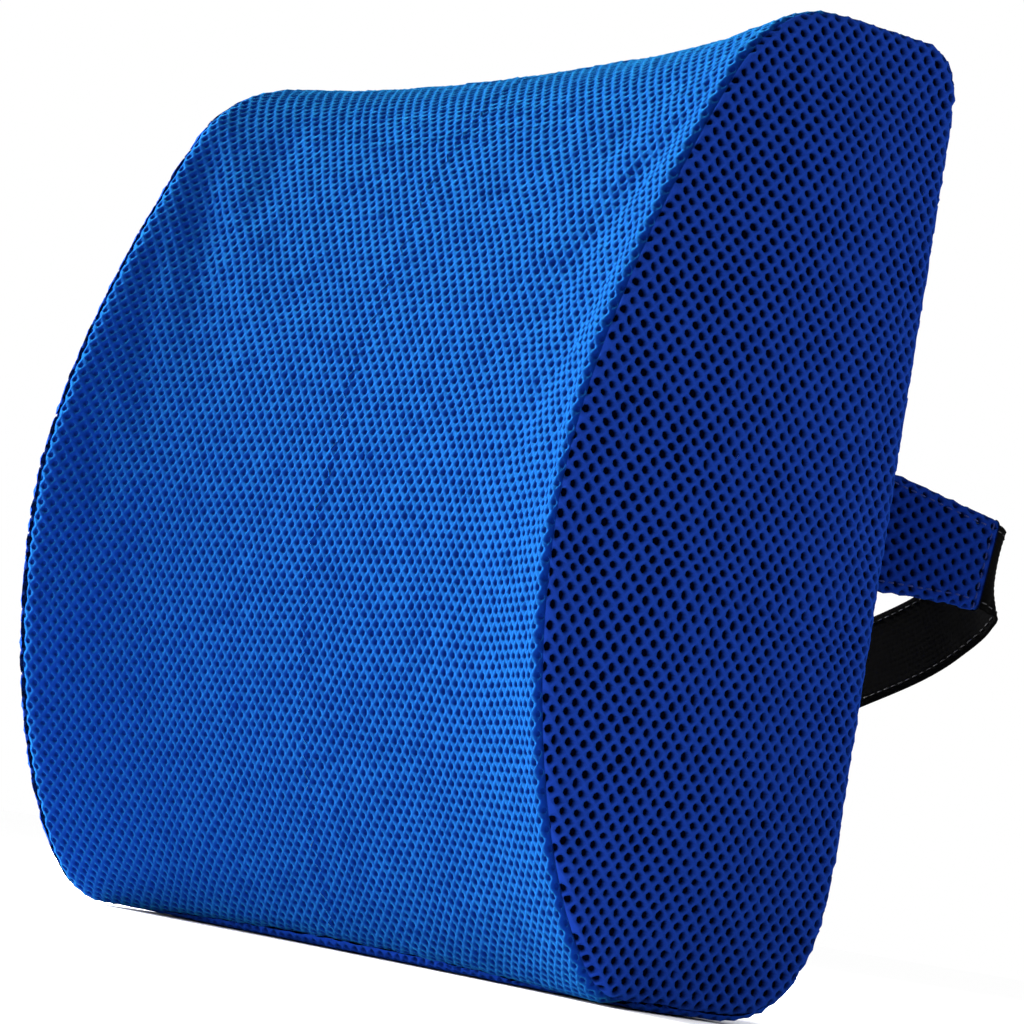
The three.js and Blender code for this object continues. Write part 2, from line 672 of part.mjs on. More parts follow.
place('foam_core', cushionForm(CORE_IN), foam());
place('core_liner', coreLiner(), linerCloth());
for (const [name, panel] of Object.entries(coverPanels())) {
  place(name, panel, name.includes('side') ? sideMesh() : frontMesh());
}
for (const [word, side] of [['upper', 1], ['lower', -1]]) {
  const { tape, coil } = zipHalf(side);
  place(`zip_tape_${word}`, tape, zipCloth());
  place(`zip_coil_${word}`, coil, zipCoil());
  place(`buckle_prong_${word}`, buckleProng(side), blackPlastic());
}
for (const [word, side] of [['left', -1], ['right', 1]]) {
  place(`zip_stop_${word}`, zipStop(side), zipMetal());
  place(`strap_tab_${word}`, strapTab(side), sideMesh());
}
place('zip_slider', zipSlider(), zipMetal());
place('zip_pull', zipPull(), zipMetal());
place('care_label', careLabel(), labelCloth());
place('elastic_left', elasticLeft(), elasticCloth());
place('elastic_right', elasticRight(), elasticCloth());
place('elastic_tail', elasticTail(), elasticCloth());
place('elastic_end_loop', elasticEndLoop(), elasticCloth());
place('buckle_socket', buckleSocket(), blackPlastic());
place('buckle_plug', bucklePlug(), blackPlastic());
place('strap_adjuster', strapAdjuster(), blackPlastic());

const part = new THREE.Group();
part.add(cushion);

export default part;
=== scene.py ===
"""Looks of the lumbar support cushion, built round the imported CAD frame.

Shapes are worked out in millimetres from the back plane (front at -Y, as in the CAD source) and placed in metres.
A sheet of cover mesh is laid out flat, in millimetres of cloth, and then mapped on to the cushion.
"""

import math

import bmesh
import bpy
import numpy as np
from mathutils import Matrix, Vector
from mathutils.kdtree import KDTree

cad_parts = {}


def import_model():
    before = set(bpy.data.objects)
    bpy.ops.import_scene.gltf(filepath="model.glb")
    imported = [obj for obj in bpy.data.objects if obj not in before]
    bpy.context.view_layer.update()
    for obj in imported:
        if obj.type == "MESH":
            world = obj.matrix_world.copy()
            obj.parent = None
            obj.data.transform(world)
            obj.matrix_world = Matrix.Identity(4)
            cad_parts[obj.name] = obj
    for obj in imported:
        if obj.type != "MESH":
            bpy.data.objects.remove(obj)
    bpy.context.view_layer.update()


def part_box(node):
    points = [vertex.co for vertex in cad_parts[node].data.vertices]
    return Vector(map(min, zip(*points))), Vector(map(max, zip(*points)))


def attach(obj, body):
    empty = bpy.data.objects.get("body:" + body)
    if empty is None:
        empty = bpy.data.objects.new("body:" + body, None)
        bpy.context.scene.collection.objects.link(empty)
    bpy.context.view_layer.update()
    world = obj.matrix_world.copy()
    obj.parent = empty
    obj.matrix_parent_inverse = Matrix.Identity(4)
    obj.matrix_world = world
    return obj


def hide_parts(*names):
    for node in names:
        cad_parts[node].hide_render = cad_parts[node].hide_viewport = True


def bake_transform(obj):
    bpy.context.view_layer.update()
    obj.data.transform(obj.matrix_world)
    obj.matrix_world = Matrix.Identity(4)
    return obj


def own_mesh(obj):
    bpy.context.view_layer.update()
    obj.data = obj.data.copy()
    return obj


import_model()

MM = 0.001
BACK_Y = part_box("cover_back_upper")[1].y / MM  # back plane, from the row's origin

# cushion form, as in the CAD source
HALF_W = 170.0
HEIGHT = 330.0
DEPTH = 139.5
BULGE_Z = 148.0
DISH = 18.0
DISH_POWER = 2.4
LIP = 8.0
LIP_FROM = 96.0
TOP_SAG = 5.0
TOP_SAG_FROM = 200.0
EDGE_R = 7.0
FLAT_W = HALF_W - EDGE_R
SIDE_CROWN = 5.0
BASE_FRONT = 84.0
BASE_BACK = 40.0
FLAT_BACK_Z = (52.0, 312.0)  # the back is flat between these heights

# seams
SEAM_X = 167.6
SEAM_X_TOP = 166.6
BACK_SEAM_X = 152.0
BACK_SEAM_TURN = 24.0  # length over which the side seams come in on the flat back
TOP_SEAM_Z = 321.0
ZIP_Z = 84.0
ZIP_OPENING = 8.0
BASE_SEAM_FRONT = -74.0
BACK_BOTTOM_Z = 18.0

# layers under the cover, from its face
LINER_IN = 3.9
FOAM_IN = 5.0

# perforated mesh
PITCH = (5.3, 3.0)
HOLE_R = 1.25
SIDE_HOLE_R = 1.46
HOLE_EDGE = -0.1  # a hole whose middle is this far inside a sheet's edge, or further, is cut
SHEET_DEPTH = 1.9
FRONT_HOLE_R = 1.15
FRONT_SHEET_DEPTH = 0.95
RIM_IN = 0.34  # how far a hole's rim lies under the face
FRONT_TUCK = (1.6, 8.5, 3.9)  # fall at the top and base seams, width of the roll, fall at the side seams
SIDE_TUCK = (1.7, 2.4)
BACK_TUCK = (1.6, 4.0)
BASE_TUCK = (1.2, 3.0)

# sewn edges, drawn as dark tubes that paint the shadow in each seam's groove: how far under the face they lie, and
# their radius
SIDE_SEAM = (3.7, 1.25)
CROSS_SEAM = (2.9, 0.9)

# the cloth simulation
VOXEL = 6.0
SEWN_REACH = 6.0  # cloth this near a seam is held
PUFF_FRAMES = 20
PUFF_CAP = 2.8


# ------------------------------------------------------------------ small tools


def smoothstep(low, high, value):
    """0 at low, 1 at high and smooth between them."""
    t = np.clip((np.asarray(value, float) - low) / (high - low), 0, 1)
    return t * t * (3 - 2 * t)


def world(points):
    """Millimetres from the back plane to metres in the row frame."""
    out = np.array(points, float) * MM
    out[..., 1] += BACK_Y * MM
    return out


def unit(vectors):
    return vectors / np.maximum(np.linalg.norm(vectors, axis=-1, keepdims=True), 1e-12)


def placed(name, data):
    """A new object in the scene."""
    obj = bpy.data.objects.new(name, data)
    bpy.context.scene.collection.objects.link(obj)
    return obj


def line_lengths(line):
    """The length along a line of points, at each of them."""
    return np.concatenate([[0], np.cumsum(np.linalg.norm(np.diff(line, axis=0), axis=1))])


def read_at(at, s, rows):
    """Rows of values that belong to s, read at other places."""
    return np.stack([np.interp(at, s, rows[:, k]) for k in range(rows.shape[1])], -1)


def ring_quads(rings, count):
    """Quads between rings of count points, each ring closed."""
    k = np.arange(count)
    nxt = (k + 1) % count
    first = np.stack([k, nxt, nxt + count, k + count], 1)
    return np.concatenate([first + r * count for r in range(rings - 1)])


def slab_faces(rows, columns):
    """Quads of a thin sheet: its front on a grid, the same grid behind it, and the rim between them."""
    index = np.arange(rows * columns).reshape(rows, columns)
    quads = np.stack([index[:-1, :-1], index[1:, :-1], index[1:, 1:], index[:-1, 1:]], -1).reshape(-1, 4)
    edge = np.concatenate([index[:, 0], index[-1, 1:], index[-2::-1, -1], index[0, -2:0:-1]])
    nxt = np.roll(edge, -1)
    rim = np.stack([edge, nxt, nxt + index.size, edge + index.size], 1)
    return np.concatenate([quads[:, ::-1], quads + index.size, rim])


def kd_tree(points):
    tree = KDTree(len(points))
    for k, p in enumerate(points):
        tree.insert(p, k)
    tree.balance()
    return tree


def mesh_piece(name, points, groups, materials, uv=None, tone=None, cloth=None, smooth=True):
    """A mesh object from points in millimetres and groups of (faces, material index)."""
    groups = [(np.asarray(f, np.int64), m) for f, m in groups if len(f)]
    mesh = bpy.data.meshes.new(name)
    co = world(points)
    loops = np.concatenate([f.ravel() for f, _ in groups])
    sizes = np.concatenate([np.full(len(f), f.shape[1]) for f, _ in groups])
    index = np.concatenate([np.full(len(f), m) for f, m in groups])
    mesh.vertices.add(len(co))
    mesh.vertices.foreach_set("co", co.ravel().astype(np.float32))
    mesh.loops.add(len(loops))
    mesh.loops.foreach_set("vertex_index", loops.astype(np.int32))
    mesh.polygons.add(len(sizes))
    mesh.polygons.foreach_set("loop_start", np.concatenate([[0], np.cumsum(sizes)[:-1]]).astype(np.int32))
    mesh.polygons.foreach_set("material_index", index.astype(np.int32))
    mesh.update(calc_edges=True)
    if smooth:
        mesh.polygons.foreach_set("use_smooth", np.ones(len(sizes), bool))
    if uv is not None:
        layer = mesh.uv_layers.new(name="OFBake")
        layer.data.foreach_set("uv", np.asarray(uv, np.float32)[loops].ravel())
    if cloth is not None:
        layer = mesh.uv_layers.new(name="cloth")
        layer.data.foreach_set("uv", (np.asarray(cloth, np.float32)[loops] * 0.01).ravel())
    if tone is not None:
        attribute = mesh.attributes.new("tone", "FLOAT", "POINT")
        attribute.data.foreach_set("value", np.asarray(tone, np.float32))
    if mesh.uv_layers:
        mesh.uv_layers.active = mesh.uv_layers[0]
    for m in materials:
        mesh.materials.append(m)
    return placed(name, mesh)


def one_material(name, points, faces, material, **more):
    """A mesh object with one group of faces and one of the materials in M."""
    return mesh_piece(name, points, [(faces, 0)], [M[material]], **more)


def merged_piece(name, parts, material):
    return one_material(name, *merge_parts(parts), material)


def merge_parts(parts):
    """Several (points, faces) with equal face sizes as one."""
    points, faces, start = [], [], 0
    for p, f in parts:
        points.append(np.asarray(p, float))
        faces.append(np.asarray(f) + start)
        start += len(p)
    return np.concatenate(points), np.concatenate(faces)


# ------------------------------------------------------------------ cushion form


def bezier(p0, p1, p2, p3, steps):
    t = np.linspace(0, 1, steps + 1)[:, None]
    p0, p1, p2, p3 = (np.array(p, float) for p in (p0, p1, p2, p3))
    return (1 - t) ** 3 * p0 + 3 * (1 - t) ** 2 * t * p1 + 3 * (1 - t) * t * t * p2 + t**3 * p3


def side_outline():
    """The closed side outline in (y, z): base, front, top, back."""
    line = np.linspace
    parts = [
        line((-BASE_BACK, 0.0), (-BASE_FRONT, 0.0), 12),
        bezier((-BASE_FRONT, 0), (-106, 0), (-DEPTH, 70), (-DEPTH, BULGE_Z), 60),
        bezier((-DEPTH, BULGE_Z), (-DEPTH, 200), (-112, 268), (-98, 297), 60),
        bezier((-98, 297), (-91, 313), (-76, 328), (-54, HEIGHT - 1), 30),
        line((-54, HEIGHT - 1), (-18, HEIGHT), 10),
        bezier((-18, HEIGHT), (-8, HEIGHT), (0, 322), (0, FLAT_BACK_Z[1]), 16),
        line((0, FLAT_BACK_Z[1]), (0, FLAT_BACK_Z[0]), 50),
        bezier((0, FLAT_BACK_Z[0]), (0, 20), (-14, 0), (-BASE_BACK, 0), 30),
    ]
    return np.concatenate([p[:-1] for p in parts])


OUT = side_outline()
CLOSED = np.vstack([OUT, OUT[:1]])
OUT_S = line_lengths(CLOSED)
ROUND = OUT_S[-1]  # length of the outline
EVEN_S = np.linspace(0, ROUND, 1031)
EVEN = read_at(EVEN_S, OUT_S, CLOSED)


def soften(values, width):
    """A moving average round the closed outline."""
    kernel = np.hanning(2 * width + 3)[1:-1]
    kernel /= kernel.sum()
    ring = values[:-1]
    padded = np.concatenate([ring[-width:], ring, ring[:width]])
    out = np.convolve(padded, kernel, "valid")
    return np.concatenate([out, out[:1]])


TANGENT = np.stack([np.gradient(EVEN[:, 0]), np.gradient(EVEN[:, 1])], 1)
TANGENT = unit(np.stack([soften(TANGENT[:, 0], 4), soften(TANGENT[:, 1], 4)], 1))


def outline_at(s):
    s = np.mod(s, ROUND)
    take = lambda values: np.interp(s, EVEN_S, values)
    return take(EVEN[:, 0]), take(EVEN[:, 1]), take(TANGENT[:, 0]), take(TANGENT[:, 1])


def depth_scale(x):
    """How deep the form is at x, as a share: the front is dished, and its sides stand out as a lip."""
    share = np.minimum(1, np.abs(x) / HALF_W) ** DISH_POWER
    lip = np.clip((np.abs(x) - LIP_FROM) / (HALF_W - LIP_FROM), 0, 1) ** 2
    return 1 - (DISH / DEPTH) * (1 - share) - (LIP / DEPTH) * (1 - lip)


def top_sag(x, z):
    """How far the top's middle hangs below its corners."""
    share = np.minimum(1, np.abs(x) / HALF_W) ** 2
    return TOP_SAG * (1 - share) * np.clip((z - TOP_SAG_FROM) / (HEIGHT - TOP_SAG_FROM), 0, None) ** 2


def wrap_surface(w, s):
    """The front, top, back and base as one band.

    w is cloth width from the middle, s the length round the outline.
    """
    w, s = np.broadcast_arrays(np.asarray(w, float), np.asarray(s, float))
    angle = np.clip((np.abs(w) - FLAT_W) / EDGE_R, 0, math.pi / 2)
    x = np.where(np.abs(w) <= FLAT_W, w, np.sign(w) * (FLAT_W + EDGE_R * np.sin(angle)))
    inset = EDGE_R * (1 - np.cos(angle))
    scale = depth_scale(x)
    y, z, ty, tz = outline_at(s)
    ty = ty * scale
    n = np.hypot(ty, tz)
    height = z - ty / n * inset
    return np.stack([x, y * scale + tz / n * inset, height - top_sag(x, height)], -1)


# distance from the outline, inwards, on a grid in (y, z)
GRID_Y = np.arange(-146.0, 10.0, 1.0)
GRID_Z = np.arange(-8.0, 342.0, 1.0)


def distance_to_line(points, line):
    """Distance from each point to an open polyline, and the nearest point on it."""
    a, b = line[:-1], line[1:]
    ab = b - a
    length2 = np.maximum((ab**2).sum(1), 1e-12)
    best = np.full(len(points), 1e9)
    near = np.zeros((len(points), 2))
    for start in range(0, len(points), 4096):
        p = points[start : start + 4096]
        t = np.clip(((p[:, None] - a) * ab).sum(2) / length2, 0, 1)
        q = a + t[..., None] * ab
        d2 = ((p[:, None] - q) ** 2).sum(2)
        k = d2.argmin(1)
        rows = np.arange(len(p))
        best[start : start + 4096] = np.sqrt(d2[rows, k])
        near[start : start + 4096] = q[rows, k]
    return best, near


def inside_polygon(points, ring):
    """Even-odd test against a closed ring whose first point isn't repeated."""
    x, y = points[:, 0], points[:, 1]
    inside = np.zeros(len(points), bool)
    nxt = np.roll(ring, -1, axis=0)
    for (x0, y0), (x1, y1) in zip(ring, nxt):
        if y0 == y1:
            continue
        cross = (y0 > y) != (y1 > y)
        inside ^= cross & (x < (x1 - x0) * (y - y0) / (y1 - y0) + x0)
    return inside


def signed_distance(points, ring):
    """Positive inside. Also gives the nearest point of the ring."""
    closed = np.vstack([ring, ring[:1]])
    d, near = distance_to_line(points, closed)
    return np.where(inside_polygon(points, ring), d, -d), near


def distance_grid():
    yy, zz = np.meshgrid(GRID_Y, GRID_Z, indexing="ij")
    points = np.stack([yy.ravel(), zz.ravel()], 1)
    d, _ = signed_distance(points, EVEN[:-1:3])
    return d.reshape(yy.shape)


DISTANCE = distance_grid()


def inset_at(y, z):
    """Distance in from the outline, read from the grid."""
    fy = np.clip((y - GRID_Y[0]), 0, len(GRID_Y) - 1.001)
    fz = np.clip((z - GRID_Z[0]), 0, len(GRID_Z) - 1.001)
    i, j = fy.astype(int), fz.astype(int)
    u, v = fy - i, fz - j
    g = DISTANCE
    return (
        g[i, j] * (1 - u) * (1 - v)
        + g[i + 1, j] * u * (1 - v)
        + g[i, j + 1] * (1 - u) * v
        + g[i + 1, j + 1] * u * v
    )


def crease_z(y):
    """Height of the faint fold across a side panel."""
    return 131.5 + 8.0 * smoothstep(-60, -125, y)


BACK_TURN_END = EDGE_R * (math.pi / 2 - 1)  # cloth place where the side panel has turned on to the back


def side_surface(a, z, side):
    """A side panel, which turns round the back corner.

    a is cloth length from the back plane's edge line, and z the height.
    """
    a, z = np.broadcast_arrays(np.asarray(a, float), np.asarray(z, float))
    turn = np.clip((a + EDGE_R) / EDGE_R, 0, math.pi / 2)
    y = np.where(a <= -EDGE_R, a, -EDGE_R + EDGE_R * np.sin(turn))
    d = np.clip(inset_at(y, z), 0, None)
    x = FLAT_W + np.sqrt(np.maximum(EDGE_R**2 - np.clip(EDGE_R - d, 0, None) ** 2, 0))
    x = x - np.clip(a - BACK_TURN_END, 0, None)
    x = x + SIDE_CROWN * smoothstep(6, 56, d)
    fold = np.exp(-(((z - crease_z(y)) / 1.3) ** 2)) * smoothstep(-112, -40, y) * smoothstep(6, 16, d)
    x = x - 0.75 * fold
    return np.stack([side * x, y, z], -1)


def s_near(y, z):
    """The s of the outline's point nearest to (y, z)."""
    return float(OUT_S[np.argmin(np.hypot(OUT[:, 0] - y, OUT[:, 1] - z))])


S_BACK_BOTTOM = s_near(0, FLAT_BACK_Z[0])
S_BACK_TOP = s_near(0, FLAT_BACK_Z[1])
S_BULGE = s_near(-DEPTH, BULGE_Z)


def seam_w(s):
    """Where the side seam runs on the wrap, as cloth width."""
    s = np.mod(np.atleast_1d(np.asarray(s, float)), ROUND)
    level = smoothstep(0.55, 0.98, np.abs(outline_at(s)[2]))
    x = SEAM_X + (SEAM_X_TOP - SEAM_X) * level
    on_back = smoothstep(0, BACK_SEAM_TURN, s - S_BACK_TOP)
    on_back = on_back * smoothstep(0, BACK_SEAM_TURN, S_BACK_BOTTOM - s)
    x = x + (BACK_SEAM_X - x) * on_back
    return np.where(x < FLAT_W, x, FLAT_W + EDGE_R * np.arcsin(np.clip((x - FLAT_W) / EDGE_R, 0, 1)))


def s_at(value, axis, low, high):
    """The s between low and high where the outline has that y (axis 0) or z (axis 1)."""
    s = np.linspace(low, high, 900)
    v = outline_at(s)[axis]
    order = np.argsort(v)
    return np.interp(value, v[order], s[order])


# where the cross seams lie
S_TOP = float(s_at(TOP_SEAM_Z, 1, S_BACK_TOP - 28, S_BACK_TOP))
S_ZIP_TOP = float(s_at(ZIP_Z + ZIP_OPENING, 1, S_BACK_TOP, S_BACK_BOTTOM))
S_ZIP_LOW = float(s_at(ZIP_Z - ZIP_OPENING, 1, S_BACK_TOP, S_BACK_BOTTOM))
S_BACK_LOW = float(s_at(BACK_BOTTOM_Z, 1, S_BACK_BOTTOM, S_BACK_BOTTOM + 60))


def base_s(y, w):
    """The s, past one full round, where the base has that y at width w."""
    target = y / depth_scale(np.clip(w, -FLAT_W, FLAT_W))
    return s_at(target, 0, S_BACK_BOTTOM, ROUND + S_BULGE)


# ------------------------------------------------------------------ materials


class Nodes:
    """A short way to write a material's node tree."""

    def __init__(self, name):
        self.material = bpy.data.materials.new(name)
        self.material.use_nodes = True
        self.tree = self.material.node_tree
        self.shader = self.tree.nodes["Principled BSDF"]

    def add(self, kind, inputs=(), **values):
        """A node, its settings from the values and its inputs from (socket, value) pairs."""
        node = self.tree.nodes.new(kind)
        for key, value in values.items():
            setattr(node, key, value)
        for key, value in inputs:
            self.put(node.inputs[key], value)
        return node

    def put(self, socket, value):
        if isinstance(value, bpy.types.NodeSocket):
            self.tree.links.new(value, socket)
        elif socket.type == "RGBA" and len(value) == 3:
            socket.default_value = (*value, 1)
        else:
            socket.default_value = value

    def math(self, operation, a, b=0.0, c=None):
        inputs = [(0, a), (1, b)] + ([] if c is None else [(2, c)])
        return self.add("ShaderNodeMath", inputs, operation=operation).outputs[0]

    def cloth(self, scale=(100, 100, 100), rotation=0.0):
        """The place on the flat cloth, in centimetres where the scale is 100."""
        source = self.add("ShaderNodeUVMap", uv_map="cloth").outputs["UV"]
        return self.mapped(source, scale, rotation)

    def position(self, scale=(1000, 1000, 1000)):
        """The place in the object, in millimetres where the scale is 1000."""
        return self.mapped(self.add("ShaderNodeTexCoord").outputs["Object"], scale, 0.0)

    def mapped(self, source, scale, rotation):
        inputs = [("Vector", source), ("Scale", scale), ("Rotation", (0, 0, rotation))]
        return self.add("ShaderNodeMapping", inputs).outputs["Vector"]

    def noise(self, vector, scale, detail=2.0, roughness=0.5):
        inputs = [("Vector", vector), ("Scale", scale), ("Detail", detail), ("Roughness", roughness)]
        return self.add("ShaderNodeTexNoise", inputs).outputs["Fac"]

    def wave(self, vector, scale, distortion=0.0, direction="X"):
        inputs = [("Vector", vector), ("Scale", scale), ("Distortion", distortion)]
        return self.add("ShaderNodeTexWave", inputs, wave_type="BANDS", bands_direction=direction).outputs["Fac"]

    def ramp(self, fac, stops):
        node = self.add("ShaderNodeValToRGB", [("Fac", fac)])
        elements = node.color_ramp.elements
        while len(elements) < len(stops):
            elements.new(0.5)
        for element, (place, colour) in zip(elements, stops):
            element.position = place
            element.color = (*colour, 1)
        return node.outputs["Color"]

    def mix(self, fac, a, b):
        node = self.add("ShaderNodeMix", data_type="RGBA")
        for socket, value in ((node.inputs["Factor"], fac), (node.inputs[6], a), (node.inputs[7], b)):
            self.put(socket, value)
        return node.outputs[2]

    # the mesh's per-point painted shade, set from its relief
    def tone(self):
        return self.add("ShaderNodeAttribute", attribute_name="tone").outputs["Fac"]

    def bump(self, height, strength, distance):
        inputs = [("Height", height), ("Strength", strength), ("Distance", distance)]
        return self.add("ShaderNodeBump", inputs).outputs["Normal"]

    def finish(self, colour, roughness, normal=None, **inputs):
        inputs = {"Base Color": colour, "Roughness": roughness, **inputs}
        if normal is not None:
            inputs["Normal"] = normal
        for key, value in inputs.items():
            self.put(self.shader.inputs[key.replace("_", " ")], value)
        return self.material


def mesh_cloth(name, hole_shade, light, sheen, roughness):
    """Knitted polyester spacer mesh, with painted shade darkening it down into the holes and a painted highlight
    making it lighter along the yarn ridges.
    """
    n = Nodes(name)
    patches = n.noise(n.cloth(), 0.035, 3.0)
    fibres = n.noise(n.cloth((100, 330, 100), 0.6), 1.1, 2.0, 0.65)
    rows = n.wave(n.cloth(rotation=0.18), 0.72, 1.5)
    # the yarn texture that raises the bump also lightens the colour: a painted highlight on the ridges
    lit = n.math("MULTIPLY_ADD", fibres, 0.55, n.math("MULTIPLY", rows, 0.25))
    # the per-point value is 1 on the face, 0.5 at the holes' rims and 0 at their floors: painted shade down into
    # the holes
    level = n.math("MULTIPLY", n.tone(), n.math("ADD", lit, 0.45))
    between = tuple(0.62 * a + 0.38 * b for a, b in zip(light, hole_shade))
    colour = n.ramp(level, [(0.0, hole_shade), (0.38, between), (0.85, light)])
    colour = n.mix(n.math("MULTIPLY", patches, 0.22), colour, tuple(0.6 * c for c in light))
    height = n.math("ADD", n.math("MULTIPLY", fibres, 0.7), n.math("MULTIPLY", rows, 0.5))
    normal = n.bump(height, 0.55, 0.00022)
    rough = n.math("MULTIPLY_ADD", fibres, 0.2, roughness - 0.1)
    return n.finish(
        colour,
        rough,
        normal,
        Sheen_Weight=sheen,
        Sheen_Roughness=0.45,
        Sheen_Tint=(0.05, 0.62, 1.0, 1.0),
        Specular_IOR_Level=0.0,
    )


def plain_cloth(name, colour, hollow_shade_and_grime, scale=1.0, roughness=0.85, sheen=0.2, weave=0.5, specular=0.2):
    """A fine plain weave, from the object's own position."""
    n = Nodes(name)
    place = n.position()
    across = n.wave(place, 0.8 * scale, 0.4, "X")
    up = n.wave(place, 0.8 * scale, 0.4, "Z")
    threads = n.math("MULTIPLY", across, up)
    grime = n.noise(place, 0.05, 3.0)
    # painted shade: the hollows between the raised threads take the darker colour, where the bump sinks; the grime
    # below is random darkening
    shade = n.mix(threads, hollow_shade_and_grime, colour)
    shade = n.mix(n.math("MULTIPLY", grime, 0.25), shade, hollow_shade_and_grime)
    normal = n.bump(n.math("ADD", threads, n.math("MULTIPLY", n.noise(place, 2.5), 0.4)), weave, 0.00015)
    return n.finish(
        shade, roughness, normal, Sheen_Weight=sheen, Sheen_Roughness=0.5, Specular_IOR_Level=specular
    )


def elastic_cloth():
    """Black woven elastic: ribs across the band, with a painted highlight on the raised threads and cords and
    painted shade in the grooves and on the selvedges.
    """
    n = Nodes("elastic_cloth")
    cloth = n.cloth()
    weft = n.wave(cloth, 2.2, 0.3, "X")
    warp = n.wave(cloth, 1.4, 0.2, "Y")
    threads = n.math("MULTIPLY", weft, warp)
    fluff = n.noise(cloth, 1.7, 3.0, 0.7)
    level = n.math("MULTIPLY", n.math("ADD", threads, fluff), n.math("MULTIPLY_ADD", n.tone(), 0.5, 0.3))
    colour = n.ramp(level, [(0.15, (0.0007, 0.0007, 0.0007)), (0.9, (0.0028, 0.0028, 0.0029))])
    normal = n.bump(n.math("ADD", threads, n.math("MULTIPLY", fluff, 0.5)), 0.5, 0.0002)
    return n.finish(colour, 0.9, normal, Sheen_Weight=0.003, Sheen_Roughness=0.6, Specular_IOR_Level=0.006)


def moulded_plastic():
    """Black acetal with a fine spark-eroded texture and slight rubbing."""
    n = Nodes("moulded_plastic")
    place = n.position()
    grain = n.noise(place, 3.2, 3.0, 0.6)
    rubbed = n.noise(place, 0.12, 4.0, 0.6)
    worn = n.ramp(rubbed, [(0.45, (0, 0, 0)), (0.8, (1, 1, 1))])
    colour = n.mix(worn, (0.0016, 0.0016, 0.0018), (0.0042, 0.0042, 0.0045))
    rough = n.math("MULTIPLY_ADD", rubbed, 0.2, 0.34)
    return n.finish(colour, rough, n.bump(grain, 0.25, 0.00006), Specular_IOR_Level=0.16)


def zip_metal():
    """Cast zinc alloy, dull in patches where it has been handled."""
    n = Nodes("zip_metal")
    place = n.position()
    grain = n.noise(place, 1.5, 4.0, 0.6)
    worn = n.ramp(n.noise(place, 0.35, 4.0), [(0.42, (0, 0, 0)), (0.75, (1, 1, 1))])
    colour = n.mix(worn, (0.16, 0.165, 0.175), (0.36, 0.365, 0.37))
    rough = n.math("MULTIPLY_ADD", grain, 0.25, 0.24)
    return n.finish(colour, rough, n.bump(grain, 0.2, 0.00005), Metallic=0.9)


def nylon_coil():
    """Dyed nylon wire, a little glossy."""
    n = Nodes("nylon_coil")
    place = n.position()
    shade = n.noise(place, 0.9, 2.0)
    colour = n.mix(shade, (0.0022, 0.0050, 0.030), (0.0050, 0.011, 0.060))
    return n.finish(colour, 0.38, n.bump(shade, 0.1, 0.00004), Specular_IOR_Level=0.12)


def thread(name, colour):
    """Sewing thread with its twist."""
    n = Nodes(name)
    ply = n.wave(n.position(), 1.6, 2.0, "DIAGONAL")
    # painted shade: the grooves of the twist, where the bump sinks, are darker
    shade = n.mix(ply, tuple(0.55 * c for c in colour), colour)
    return n.finish(shade, 0.6, n.bump(ply, 0.5, 0.0001), Sheen_Weight=0.03, Specular_IOR_Level=0.1)


def foam_material():
    """Pale foam with its open pores."""
    n = Nodes("memory_foam")
    place = n.position()
    cells = n.add("ShaderNodeTexVoronoi", [("Vector", place), ("Scale", 0.9)], feature="DISTANCE_TO_EDGE")
    pores = cells.outputs["Distance"]
    tint = n.noise(place, 0.03, 3.0)
    colour = n.mix(tint, (0.78, 0.72, 0.55), (0.86, 0.82, 0.68))
    return n.finish(colour, 0.92, n.bump(pores, 0.6, 0.0003), Subsurface_Weight=0.05, Specular_IOR_Level=0.1)


